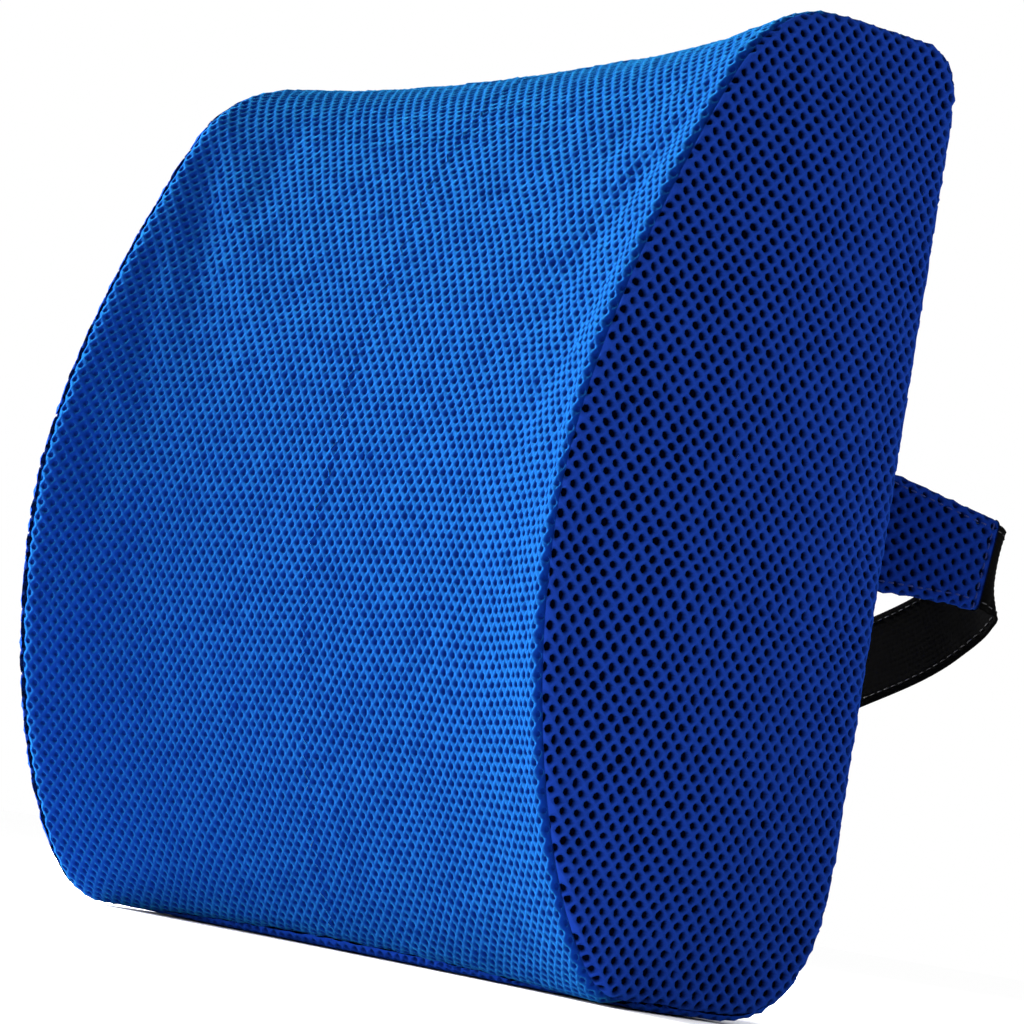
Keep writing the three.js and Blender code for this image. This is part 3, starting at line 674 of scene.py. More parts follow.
# the dark colours paint shade into the walls of the holes; the light ones are the yarns' own colour
FRONT_HOLE_SHADE = (0.0010, 0.0095, 0.100)
FRONT_LIGHT = (0.0016, 0.0138, 0.140)
SIDE_HOLE_SHADE = (0.0008, 0.0028, 0.018)
SIDE_LIGHT = (0.0062, 0.028, 0.225)
NO_SPECULAR = {"roughness": 0.95, "sheen": 0.0, "weave": 0.3, "specular": 0.0}
M = {
    "front": mesh_cloth("front_mesh", FRONT_HOLE_SHADE, FRONT_LIGHT, 0.22, 0.42),
    "side": mesh_cloth("side_mesh", SIDE_HOLE_SHADE, SIDE_LIGHT, 0.03, 0.6),
    "back": mesh_cloth("back_mesh", SIDE_HOLE_SHADE, (0.0045, 0.027, 0.24), 0.03, 0.58),
    "tab": mesh_cloth("tab_mesh", SIDE_HOLE_SHADE, (0.0032, 0.015, 0.14), 0.03, 0.62),
    "pit_front": plain_cloth("front_pits", (0.0016, 0.0130, 0.125), (0.0012, 0.0090, 0.090), **NO_SPECULAR),
    # near black, painted shade: the floors of the holes in the side, back, base and tab mesh
    "pit": plain_cloth("mesh_pits_painted_shade", (0.0008, 0.0014, 0.0110), (0.0004, 0.0006, 0.0045), **NO_SPECULAR),
    # dark navy: along the seams it paints the shadow in the grooves, and it also colours the tape at the tabs'
    # turned-in ends
    "seam": plain_cloth(
        "seam_shadow_and_hem_tape", (0.0010, 0.0035, 0.022), (0.0005, 0.0012, 0.007), 1.0, 0.9, 0.0, 0.5, 0.0
    ),
    "tape": plain_cloth(
        "zip_tape_cloth", (0.0028, 0.0070, 0.042), (0.0012, 0.0028, 0.016), 0.9, 0.85, 0.02, 0.7, 0.02
    ),
    "label": plain_cloth("label_satin", (0.52, 0.52, 0.50), (0.36, 0.36, 0.35), 1.2, 0.5, 0.05, 0.3),
    "liner": plain_cloth("liner_jersey", (0.72, 0.72, 0.70), (0.5, 0.5, 0.49), 0.7, 0.9, 0.2, 0.6),
    "foam": foam_material(),
    "elastic": elastic_cloth(),
    "plastic": moulded_plastic(),
    "metal": zip_metal(),
    "coil": nylon_coil(),
    "thread_blue": thread("thread_blue", (0.0030, 0.014, 0.115)),
    "thread_grey": thread("thread_grey", (0.06, 0.06, 0.065)),
    "thread_white": thread("thread_white", (0.60, 0.63, 0.68)),
}


# ------------------------------------------------------------------ puffing up the cover


def seam_lines():
    """Points along every seam, which don't move when the cover puffs up."""
    s = np.arange(0, ROUND, 4.0)
    lines = [wrap_surface(side * seam_w(s), s) for side in (-1, 1)]
    w = np.arange(-FLAT_W, FLAT_W + 1, 4.0)
    lines += [wrap_surface(w, at) for at in (S_TOP, base_s(BASE_SEAM_FRONT, w), S_BACK_LOW)]
    for z in (ZIP_Z - ZIP_OPENING, ZIP_Z, ZIP_Z + ZIP_OPENING):
        lines.append(np.stack([w, np.zeros(len(w)), np.full(len(w), z)], 1))
    return np.concatenate(lines)


def form_mesh():
    """The whole cushion as one skin, open in the middle of each side panel."""
    s = np.linspace(0, ROUND, 181)[:-1]
    full = FLAT_W + EDGE_R * math.pi / 2
    half = np.concatenate([np.linspace(0, FLAT_W, 24), np.linspace(FLAT_W, full, 7)[1:]])
    widths = np.concatenate([-half[:0:-1], half])
    rings = [wrap_surface(np.full(len(s), w), s) for w in widths]
    middle = np.array([0, -DEPTH * 0.46, HEIGHT * 0.47])
    for side in (-1, 1):
        edge = rings[0] if side < 0 else rings[-1]
        for share in (0.15, 0.3, 0.45, 0.6, 0.75, 0.9, 0.98):
            ring = edge + (middle - edge) * share
            d = np.clip(inset_at(ring[:, 1], ring[:, 2]), 0, None)
            ring[:, 0] = side * (HALF_W + SIDE_CROWN * smoothstep(6, 56, d))
            rings.insert(0 if side < 0 else len(rings), ring)
    return np.concatenate(rings), ring_quads(len(rings), len(s))


def form_piece(name, points, quads, materials, inset=0.0):
    """The form as an object, its ends closed and its skin drawn in by inset."""
    obj = mesh_piece(name, points, [(quads, 0)], materials)
    bm = bmesh.new()
    bm.from_mesh(obj.data)
    bmesh.ops.holes_fill(bm, edges=[e for e in bm.edges if e.is_boundary], sides=0)
    bmesh.ops.recalc_face_normals(bm, faces=bm.faces)
    bm.normal_update()
    for v in bm.verts:
        v.co -= v.normal * inset * MM
    bm.to_mesh(obj.data)
    bm.free()
    return obj


def vertex_places(mesh):
    out = np.zeros(len(mesh.vertices) * 3)
    mesh.vertices.foreach_get("co", out)
    return out.reshape(-1, 3)


def inflated():
    """Runs the cloth once and returns (rest points, displacements) in millimetres."""
    obj = form_piece("puff_form", *form_mesh(), [])
    bpy.context.view_layer.objects.active = obj
    remesh = obj.modifiers.new("remesh", "REMESH")
    remesh.mode = "VOXEL"
    remesh.voxel_size = VOXEL * MM
    bpy.ops.object.modifier_apply(modifier=remesh.name)
    rest = vertex_places(obj.data)
    seams = kd_tree(world(seam_lines()))
    away = np.array([seams.find(p)[2] for p in rest]) / MM
    group = obj.vertex_groups.new(name="sewn")
    group.add(np.nonzero(away < SEWN_REACH)[0].tolist(), 1.0, "REPLACE")
    cloth = obj.modifiers.new("cloth", "CLOTH")
    settings = cloth.settings
    settings.quality = 6
    settings.mass = 0.3
    settings.tension_stiffness = 22
    settings.compression_stiffness = 22
    settings.shear_stiffness = 12
    settings.bending_stiffness = 2.0
    settings.use_pressure = True
    settings.uniform_pressure_force = 4.0
    settings.vertex_group_mass = group.name
    settings.effector_weights.gravity = 0
    cloth.point_cache.frame_start = 1
    cloth.point_cache.frame_end = PUFF_FRAMES
    scene = bpy.context.scene
    for f in range(1, PUFF_FRAMES + 1):
        scene.frame_set(f)
    moved = obj.evaluated_get(bpy.context.evaluated_depsgraph_get())
    shift = (vertex_places(moved.to_mesh()) - rest) / MM
    moved.to_mesh_clear()
    scene.frame_set(1)
    bpy.data.objects.remove(obj)
    far = np.linalg.norm(shift, axis=1, keepdims=True)
    print("puff: points", len(rest), "mean", far.mean(), "max", far.max())
    shift *= np.minimum(1, PUFF_CAP / np.maximum(far, 1e-9))
    rest /= MM
    rest[:, 1] -= BACK_Y
    return rest, shift


class Puff:
    """How far the puffed cover stands off the plain form at any place."""

    CELL = 2.0  # places this near each other share one lookup
    NEIGHBOURS = 7

    def __init__(self):
        self.tree = None
        rest, self.shift = inflated()
        self.tree = kd_tree(rest)

    def at(self, points):
        if self.tree is None:
            return np.zeros(points.shape)
        cell = np.round(points / self.CELL).astype(int)
        keys, where = np.unique(cell, axis=0, return_inverse=True)
        values = np.zeros((len(keys), 3))
        for k, key in enumerate(keys):
            near = self.tree.find_n(Vector(key * self.CELL), self.NEIGHBOURS)
            weight = np.array([1.0 / (d + 1.5) ** 2 for _, _, d in near])
            values[k] = (self.shift[[i for _, i, _ in near]] * weight[:, None]).sum(0) / weight.sum()
        return values[where.ravel()]


puff = Puff()


def place_on(surface, u, v, lift, puffed=True, facing=1):
    """Points of a surface at cloth places u, v, moved out along its normal by lift."""
    base = surface(u, v)
    step = 1.0
    du = surface(u + step, v) - surface(u - step, v)
    dv = surface(u, v + step) - surface(u, v - step)
    normal = unit(np.cross(du, dv)) * facing
    out = base + normal * np.asarray(lift, float)[..., None]
    if puffed:
        out = out + puff.at(base)
    return out


# ------------------------------------------------------------------ perforated mesh

HEX_TOP = (PITCH[0] ** 2 / 8 + PITCH[1] ** 2 / 2) / PITCH[1]  # corner of a cell above its hole
HEX_SIDE = PITCH[1] - HEX_TOP
HEX = np.array(
    [
        (PITCH[0] / 2, HEX_SIDE),
        (0, HEX_TOP),
        (-PITCH[0] / 2, HEX_SIDE),
        (-PITCH[0] / 2, -HEX_SIDE),
        (0, -HEX_TOP),
        (PITCH[0] / 2, -HEX_SIDE),
    ]
)
RIM = 8
RIM_ANGLE = math.tau * (np.arange(RIM) + 0.5) / RIM


def stitched_rings():
    """Triangles between the six cell corners (0..5) and the hole's rim (6..13), turning the same way."""
    corner = np.mod(np.arctan2(HEX[:, 1], HEX[:, 0]), math.tau)
    outer = [(corner[k], k) for k in range(6)]
    inner = [(RIM_ANGLE[k], 6 + k) for k in range(RIM)]
    outer.sort()
    inner.sort()
    faces = []
    i = j = 0
    while i < 6 or j < RIM:
        o, oo = outer[i % 6][1], outer[(i + 1) % 6][1]
        n, nn = inner[j % RIM][1], inner[(j + 1) % RIM][1]
        next_outer = outer[(i + 1) % 6][0] + (math.tau if i + 1 >= 6 else 0)
        next_inner = inner[(j + 1) % RIM][0] + (math.tau if j + 1 >= RIM else 0)
        if j >= RIM or (i < 6 and next_outer <= next_inner):
            faces.append((o, oo, n))
            i += 1
        else:
            faces.append((o, nn, n))
            j += 1
    return np.array(faces)


CELL_FACES = stitched_rings()


def soft_noise(points, wavelength, seed):
    """Smooth noise of about -1 to 1 at 2-D points, from a few fixed waves."""
    draw = np.random.default_rng(seed)
    total = np.zeros(len(points))
    for _ in range(6):
        angle = draw.uniform(0, math.tau)
        k = math.tau / (wavelength * draw.uniform(0.6, 1.6))
        along = points[:, 0] * k * math.cos(angle) + points[:, 1] * k * math.sin(angle)
        total += np.sin(along + draw.uniform(0, 6.28))
    return total / 3.0


def holes_at(centres, hole_r, seed):
    """The rims of the holes round their centres, and the same rings drawn in for their floors."""
    draw = np.random.default_rng(seed)
    count = len(centres)
    radius = hole_r * (1 + 0.06 * draw.standard_normal(count))
    stretch = 1 + 0.05 * draw.standard_normal(count)
    spin = RIM_ANGLE[None] + 0.06 * draw.standard_normal(count)[:, None]
    wobble = 1 + 0.05 * draw.standard_normal((count, RIM))
    circle = np.stack([np.cos(spin) * stretch[:, None], np.sin(spin) / stretch[:, None]], 2) * wobble[..., None]
    rims = [(centres[:, None] + circle * radius[:, None, None] * size).reshape(-1, 2) for size in (1.0, 0.9)]
    return rims, draw


def flat_area(flat, faces):
    p = flat[faces]
    q = np.roll(p, -1, axis=1)
    return 0.5 * np.abs((p[..., 0] * q[..., 1] - q[..., 0] * p[..., 1]).sum(1))


def perforated(
    name,
    surface,
    ring,
    tuck,
    material,
    seed,
    flip=False,
    warp=None,
    puffed=True,
    clip=None,
    floor_z=None,
    hole_r=HOLE_R,
    depth=SHEET_DEPTH,
    pits="pit",
):
    """A sheet of holed mesh inside the closed ring, which is in cloth millimetres.

    tuck is (depth, width) of the sheet's fall into its seams, with a third value where the fall at the side seams
    differs. clip is a (low, high) range of u for one part of a sheet, and floor_z a height that it stays above.
    """
    low, high = ring.min(0) - 8, ring.max(0) + 8
    spans = [np.arange(math.floor(low[k] / PITCH[k]), math.ceil(high[k] / PITCH[k]) + 1) for k in (0, 1)]
    ii, jj = (grid.ravel() for grid in np.meshgrid(*spans, indexing="ij"))
    centres = np.stack([PITCH[0] * (ii + 0.5 * (jj % 2)), PITCH[1] * jj], 1)

    def warped(p):
        q = p + 0.55 * np.stack([soft_noise(p, 70, seed), soft_noise(p, 70, seed + 1)], 1)
        q = q + 0.10 * np.stack([soft_noise(p, 9, seed + 2), soft_noise(p, 9, seed + 3)], 1)
        return q if warp is None else warp(q)

    flat_centres = warped(centres)
    sd, _ = signed_distance(flat_centres, ring)
    keep = sd > -2.4
    if clip is not None:
        keep &= (flat_centres[:, 0] >= clip[0]) & (flat_centres[:, 0] < clip[1])
    centres, sd = centres[keep], sd[keep]
    count = len(centres)

    # neighbouring cells share their corners; the odd offset keeps a corner's copies on one side of a rounding step
    corners = (centres[:, None] + HEX).reshape(-1, 2)
    keys, where = np.unique(np.floor(corners * 50 + 0.27).astype(int), axis=0, return_inverse=True)
    where = where.ravel()
    corner_points = np.zeros((len(keys), 2))
    corner_points[where] = corners
    corner_index = where.reshape(count, 6)
    (rim, pit), draw = holes_at(centres, hole_r, seed + 11)
    flat = np.concatenate([warped(corner_points), warped(rim), warped(pit)])
    nc, nr = len(corner_points), count * RIM

    # distance to the sheet's edge, for the cells near it; what lies outside moves on to the edge
    edge_cells = sd < 14
    near_vertex = np.zeros(len(flat), bool)
    near_vertex[corner_index[edge_cells].ravel()] = True
    near_vertex[nc:] = np.tile(np.repeat(edge_cells, RIM), 2)
    d, near = signed_distance(flat[near_vertex], ring)
    flat[near_vertex] = np.where((d < 0)[:, None], near, flat[near_vertex])
    e = np.full(len(flat), 99.0)
    e[near_vertex] = np.maximum(d, 0)

    # height over the surface: the rims and floors of the holes, the fall into the seams, and ripples
    rises = np.concatenate([0.12 * draw.standard_normal(nc), np.full(nr, -RIM_IN), np.full(nr, -depth)])
    pucker = 1 + 0.22 * soft_noise(flat, 16, seed + 5)
    deep = tuck[0] + (tuck[-1] - tuck[0]) * smoothstep(120, 158, np.abs(flat[:, 0])) if len(tuck) > 2 else tuck[0]
    fall = -deep * np.clip(1 - e / tuck[1], 0, 1) ** 2 * np.clip(pucker, 0.5, 1.5)
    ripple = 0.16 * soft_noise(flat, 45, seed + 7) * np.clip(e / 8, 0, 1)
    points = place_on(surface, flat[:, 0], flat[:, 1], rises + fall + ripple, puffed, -1 if flip else 1)
    if floor_z is not None:
        points[:, 2] = np.maximum(points[:, 2], floor_z + np.where(rises < -0.2, -rises, 0.0))
    # painted shade: 1 on the face, 0.5 at the holes' rims, 0 at their floors
    tone = np.repeat([1.0, 0.5, 0.0], [nc, nr, nr])

    holed = sd > HOLE_EDGE
    rim_index = nc + np.arange(nr).reshape(count, RIM)
    pit_index = rim_index + nr
    tris = np.concatenate([corner_index, rim_index], 1)[holed][:, CELL_FACES].reshape(-1, 3)
    walls = [rim_index, np.roll(rim_index, -1, axis=1), np.roll(pit_index, -1, axis=1), pit_index]
    walls = np.stack(walls, 2)[holed].reshape(-1, 4)
    floors = pit_index[holed]
    plain = corner_index[~holed]
    tris = tris[flat_area(flat, tris) > 2e-3]
    walls = walls[np.linalg.norm(flat[walls[:, 0]] - flat[walls[:, 1]], axis=1) > 2e-2]
    floors = floors[flat_area(flat, floors) > 2e-2]
    plain = plain[flat_area(flat, plain) > 2e-2]
    turn = -1 if flip else 1
    groups = [(tris, 0), (walls, 0), (floors, 1), (plain, 0)]
    used = np.zeros(len(flat), bool)
    for faces, _ in groups:
        used[faces.ravel()] = True
    renumber = np.cumsum(used) - 1
    span = (flat.max(0) - flat.min(0)).max()
    uv = (flat - flat.min(0)) / span * 0.98 + 0.01
    return mesh_piece(
        name,
        points[used],
        [(renumber[faces][:, ::turn], slot) for faces, slot in groups],
        [M[material], M[pits]],
        uv=uv[used],
        tone=tone[used],
        cloth=flat[used],
    )


# ------------------------------------------------------------------ the cover's panels


def panel_ring(lower, upper):
    """A closed ring in (w, s) between two s curves of w, with the side seams at its ends."""
    low_w = float(seam_w(lower(FLAT_W))[0])
    high_w = float(seam_w(upper(FLAT_W))[0])
    s = np.arange(float(lower(low_w)[0]), float(upper(high_w)[0]), 3.0)
    bottom = np.linspace(-low_w, low_w, 110)
    top = np.linspace(high_w, -high_w, 110)
    right = np.stack([seam_w(s), s], 1)[1:]
    left = (right * (-1, 1))[::-1]
    return np.concatenate([np.stack([bottom, lower(bottom)], 1), right, np.stack([top, upper(top)], 1), left])


constant = lambda value: lambda w: np.full(len(np.atleast_1d(w)), float(value))
front_low = lambda w: base_s(BASE_SEAM_FRONT, np.atleast_1d(w))
base_low = constant(S_BACK_LOW)

FRONT_RING = panel_ring(front_low, constant(ROUND + S_TOP))
BASE_RING = panel_ring(base_low, front_low)
BACK_UPPER_RING = panel_ring(constant(S_TOP), constant(S_ZIP_TOP))
BACK_LOWER_RING = panel_ring(constant(S_ZIP_LOW), base_low)


def side_ring():
    """The side seam as a closed ring in the side panel's own (a, z)."""
    s = np.arange(0, ROUND, 3.0)
    p = wrap_surface(seam_w(s), s)
    y = np.clip(p[:, 1], None, 0)
    a = np.where(y <= -EDGE_R, y, -EDGE_R + EDGE_R * np.arcsin(np.clip((y + EDGE_R) / EDGE_R, -1, 1)))
    a = a + np.where(p[:, 1] > -0.5, np.clip(FLAT_W - np.abs(p[:, 0]), 0, None), 0.0)
    return np.stack([a, p[:, 2]], 1)


def side_warp(p):
    """Below the fold the rows lean a little and lie closer."""
    q = p.copy()
    below = smoothstep(-2, 40, crease_z(p[:, 0]) - p[:, 1])
    q[:, 1] += 0.055 * (p[:, 0] + 60) * below
    near = np.exp(-(((p[:, 1] - crease_z(p[:, 0])) / 9.0) ** 2))
    q[:, 1] += 1.3 * near * np.sin(p[:, 0] / 17.0)
    return q


def make_cover():
    pieces = {}
    for word, clip in (("left", (-400, 0.0)), ("right", (0.0, 400))):
        pieces[f"cover_front_{word}"] = perforated(
            f"cover_front_{word}",
            wrap_surface,
            FRONT_RING,
            FRONT_TUCK,
            "front",
            21,
            clip=clip,
            floor_z=0.0,
            hole_r=FRONT_HOLE_R,
            depth=FRONT_SHEET_DEPTH,
            pits="pit_front",
        )
    for name, ring, tuck, seed, floor_z in (
        ("cover_base", BASE_RING, BASE_TUCK, 33, 0.0),
        ("cover_back_top", BACK_UPPER_RING, BACK_TUCK, 41, None),
        ("cover_back_bottom", BACK_LOWER_RING, BACK_TUCK, 51, 0.0),
    ):
        pieces[name] = perforated(name, wrap_surface, ring, tuck, "back", seed, floor_z=floor_z)
    for word, side, seed in (("left", -1, 71), ("right", 1, 61)):
        pieces[f"cover_side_{word}"] = perforated(
            f"cover_side_{word}_mesh",
            lambda a, z, side=side: side_surface(a, z, side),
            side_ring(),
            SIDE_TUCK,
            "side",
            seed,
            flip=side < 0,
            warp=side_warp,
            hole_r=SIDE_HOLE_R,
        )
    return pieces


# ------------------------------------------------------------------ tubes, stitches


def tube(line, radius, sides=8, closed=False, up=(0, 0, 1)):
    """Points and quads of a tube along a line."""
    line = np.asarray(line, float)
    tangent = unit(np.gradient(line, axis=0))
    up = np.broadcast_to(np.asarray(up, float), line.shape)
    upright = unit(up - (up * tangent).sum(1, keepdims=True) * tangent)
    across = unit(np.cross(tangent, upright))
    angle = math.tau * np.arange(sides) / sides
    radius = np.broadcast_to(np.asarray(radius, float), (len(line),))
    offset = across[:, None] * np.cos(angle)[None, :, None] + upright[:, None] * np.sin(angle)[None, :, None]
    points = (line[:, None] + offset * radius[:, None, None]).reshape(-1, 3)
    return points, ring_quads(len(line) + closed, sides)[:, [0, 3, 2, 1]] % len(points)


def resampled(line, step):
    s = line_lengths(line)
    at = np.linspace(0, s[-1], max(2, int(round(s[-1] / step)) + 1))
    return read_at(at, s, line)


# one stitch: places along it as shares of its length, then its height and width as shares of its radius
STITCH_AT = np.array([0.0, 0.12, 0.35, 0.65, 0.88, 1.0])
STITCH_RISE = np.array([-0.75, -0.1, 0.32, 0.32, -0.1, -0.75])
STITCH_WIDTH = np.array([0.45, 0.85, 1.0, 1.0, 0.85, 0.45])


def stitch_row(line, normals, length=2.6, gap=1.3, radius=0.33, lift=0.15):
    """A row of thread stitches along a line, each a small rounded bar that dips in at its ends."""
    normals = np.broadcast_to(np.asarray(normals, float), line.shape)
    s = line_lengths(line)
    parts = []
    for start in np.arange(gap / 2, s[-1] - length, length + gap):
        at = start + STITCH_AT * length
        n = unit(read_at(at, s, normals))
        p = read_at(at, s, line) + n * (lift + STITCH_RISE * radius)[:, None]
        parts.append(tube(p, radius * STITCH_WIDTH, 6, up=n.mean(0)))
    return merge_parts(parts)


def seam_tube(name, w, s, size, lowest, closed=False):
    """A sewn edge in its groove, coloured dark as the painted shadow of the groove."""
    line = place_on(wrap_surface, w, s, np.full(len(w), -size[0]))
    line[:, 2] = np.maximum(line[:, 2], lowest)
    return one_material(name, *tube(line, size[1], closed=closed), "seam")


def make_seams():
    s = np.arange(0, ROUND, 3.0)
    sides = (("left", -1), ("right", 1))
    pieces = [seam_tube(f"seam_side_{word}", side * seam_w(s), s, SIDE_SEAM, 1.3, True) for word, side in sides]
    w = np.arange(-FLAT_W, FLAT_W + 1, 3.0)
    rows = (("seam_top", constant(S_TOP)), ("seam_base_front", front_low), ("seam_base_back", base_low))
    return pieces + [seam_tube(name, w, at(w), CROSS_SEAM, 1.2) for name, at in rows]


def topstitching():
    """A row on each side of the zip and one under the back's top seam."""
    w = np.arange(-BACK_SEAM_X + 5, BACK_SEAM_X - 4, 2.0)
    rows = []
    for s in (S_ZIP_TOP - 3.2, S_ZIP_LOW + 3.2, S_TOP + 4.5):
        line = place_on(wrap_surface, w, np.full(len(w), s), np.full(len(w), 0.1))
        rows.append(stitch_row(line, (0.0, 1.0, 0.0)))
    return merged_piece("topstitching", rows, "thread_blue")


# ------------------------------------------------------------------ strap tabs

STRAP_Y = 56.0
STRAP_Z = 111.0
LAYER_Y = 2.65  # from the buckle's middle plane to the middle of a layer of elastic
STRAP_W = 30.0
ELASTIC_T = 1.5
SOCKET_BAR_X = -12.4
PLUG_BAR_X = 40.4
ADJUSTER_X = -62.0
TAIL_Y = 55.15

# a tab's middle line, from the seam to its end: x, y, z, half height, thickness
TAB_LINE = np.array(
    [
        (152.0, -2.7, 168.5, 21.5, 3.0),
        (152.0, 2.5, 168.3, 21.2, 3.4),
        (153.2, 8.0, 167.8, 20.4, 5.0),
        (156.8, 25.0, 166.4, 18.4, 5.0),
        (159.5, 38.0, 165.2, 16.8, 5.0),
        (160.6, 49.7, 164.1, 16.2, 5.0),
    ]
)
TAB_END_LEAN = 0.13


def tab_station(v):
    """Middle, along, half height and thickness of a tab at cloth length v from its root, and its whole length."""
    length = line_lengths(TAB_LINE[:, :3])
    v = np.clip(v, -2, length[-1])
    here = read_at(v, length, TAB_LINE)
    along = unit(read_at(v + 3, length, TAB_LINE[:, :3]) - read_at(v - 3, length, TAB_LINE[:, :3]))
    return here[..., :3], along, here[..., 3], here[..., 4], length[-1]


def tab_surface(u, v, side, thin=0.0):
    """The skin of a tab. u runs round its flat section in millimetres, from the middle of the outer face."""
    u, v = np.broadcast_arrays(np.asarray(u, float), np.asarray(v, float))
    centre, along, half, thick, full = tab_station(v)
    r = thick / 2 - thin
    flat = half - thick / 2
    turn = math.pi * r
    size = np.abs(u)
    angle = np.clip((size - flat) / np.maximum(r, 1e-6), 0, math.pi)
    up = np.where(size < flat, size, flat + r * np.sin(angle))
    up = np.where(size > flat + turn, flat - (size - flat - turn), up)
    out = np.where(size < flat, r, r * np.cos(angle))
    up = np.where(u < 0, -up, up)
    across = unit(np.stack([along[..., 1], -along[..., 0], np.zeros(along.shape[:-1])], -1))
    lean = TAB_END_LEAN * smoothstep(0.55 * full, full, v)
    point = centre + across * out[..., None]
    point[..., 1] += lean * up
    point[..., 2] += up
    point[..., 0] *= side
    return point


def half_round(v):
    """Half the way round a tab's section at v."""
    _, _, half, thick, _ = tab_station(np.asarray(v, float))
    return 2 * (half - thick / 2) + math.pi * thick / 2


def make_tab(word, side):
    full = float(tab_station(0.0)[4])
    v = np.linspace(1.0, full, 24)
    half = half_round(v)
    ring = np.concatenate([np.stack([half, v], 1), np.stack([-half, v], 1)[::-1]])
    surface = lambda u, v: tab_surface(u, v, side)
    seed = 81 if side > 0 else 91
    tab = perforated(f"tab_{word}", surface, ring, (0.5, 1.2), "tab", seed, flip=side > 0, puffed=False)
    # the turned-in end, a band of plain tape inside the mesh
    end_round = float(half_round(full))
    u = np.linspace(-end_round, end_round, 61)[:-1]
    _, along, half_h, thick, _ = tab_station(full)
    rings = []
    for back, thin in ((0.4, 0.1), (-0.3, 0.5), (-0.2, 1.2), (1.0, 1.5), (9.0, 1.55)):
        scale = (thick / 2 - thin) / (thick / 2)
        p = tab_surface(u * (2 * (half_h - thick / 2) + math.pi * thick / 2 * scale) / end_round, full, side, thin)
        rings.append(p - along * (side, 1, 1) * back)
    quads = ring_quads(len(rings), len(u))[:, ::side]
    hem = one_material(f"tab_hem_{word}", np.concatenate(rings), quads, "seam")
    outward = (float(side), 0.0, 0.0)
    rows = []
    edge = half_round(0.0) * 0.43
    for reach, where in ((0.92, 5.0), (0.86, full - 2.6)):
        line = surface(np.linspace(-reach, reach, 24) * edge, np.full(24, where))
        rows.append(stitch_row(line, outward, 2.3, 1.2, 0.28, 0.0))
    for sign in (-1, 1):
        along_v = np.linspace(3.0, full - 3.0, 30)
        _, _, half_h, thick, _ = tab_station(along_v)
        line = surface(sign * (half_h - thick / 2 - 1.2), along_v)
        rows.append(stitch_row(line, outward, 2.3, 1.4, 0.26, -0.05))
    sewing = merged_piece(f"tab_sewing_{word}", rows, "thread_blue")
    tacks = []
    for sign in (-1, 1):
        for where in (4.4, 7.2):
            centre, _, half_h, thick, _ = tab_station(where)
            reach = sign * float(half_h + thick * 0.2)
            line = surface(np.full(8, reach) + np.linspace(-0.8, 0.8, 8) * sign, np.full(8, where))
            tacks.append(stitch_row(line, unit(line - centre * (side, 1, 1)), 1.2, 0.1, 0.26, 0.1))
    tack = merged_piece(f"tab_tacks_{word}", tacks, "thread_white")
    for obj in (tab, hem, sewing, tack):
        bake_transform(obj)
    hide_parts(f"strap_tab_{word}")
    return tab, hem, sewing, tack


# ------------------------------------------------------------------ elastic


def catmull_rom(points, count):
    """A centripetal curve through the points, as the CAD source draws it."""
    p = np.asarray(points, float)
    first = p[0] + (p[0] - p[1])
    last = p[-1] + (p[-1] - p[-2])
    p = np.vstack([first, p, last])
    out = []
    for share in np.linspace(0, 1, count + 1):
        at = share * (len(p) - 3)
        k = min(int(at), len(p) - 4)
        t = at - k
        p0, p1, p2, p3 = p[k : k + 4]
        d = [max(np.linalg.norm(b - a) ** 0.5, 1e-6) for a, b in ((p0, p1), (p1, p2), (p2, p3))]
        m1 = ((p1 - p0) / d[0] - (p2 - p0) / (d[0] + d[1]) + (p2 - p1) / d[1]) * d[1]
        m2 = ((p2 - p1) / d[1] - (p3 - p1) / (d[1] + d[2]) + (p3 - p2) / d[2]) * d[1]
        out.append(p1 + m1 * t + (3 * (p2 - p1) - 2 * m1 - m2) * t * t + (2 * (p1 - p2) + m1 + m2) * t**3)
    return np.array(out)


def tab_exit(side, distances):
    """Points on the tab's middle line at these distances past its end."""
    before, end = TAB_LINE[-2, :3] * (side, 1, 1), TAB_LINE[-1, :3] * (side, 1, 1)
    along = (end - before) / np.linalg.norm(end - before)
    return [end + along * d for d in distances]


def elastic_drop(side, low, level_x):
    """From inside a tab's end, round and down to the strap's level."""
    sewn, edge, out = tab_exit(side, (-12.4, 0.2, 1.3))
    drop = [out, (160, 54, 163), (156.5, 57.6, 160.8), (150, 59, 156), (138, 58.5, 147), *low]
    drop.append((level_x, STRAP_Y - LAYER_Y, STRAP_Z))
    drop = [drop[0]] + [np.array(q, float) * (side, 1, 1) for q in drop[1:]]
    return np.vstack([sewn, edge, catmull_rom(drop, 60)])


def round_bar(x, side):
    """Half a turn round a buckle's bar."""
    angle = -math.pi / 2 - math.pi * np.arange(13) / 12
    y = STRAP_Y + LAYER_Y * np.sin(angle)
    return np.stack([x + side * LAYER_Y * np.cos(angle), y, np.full(13, STRAP_Z)], 1)


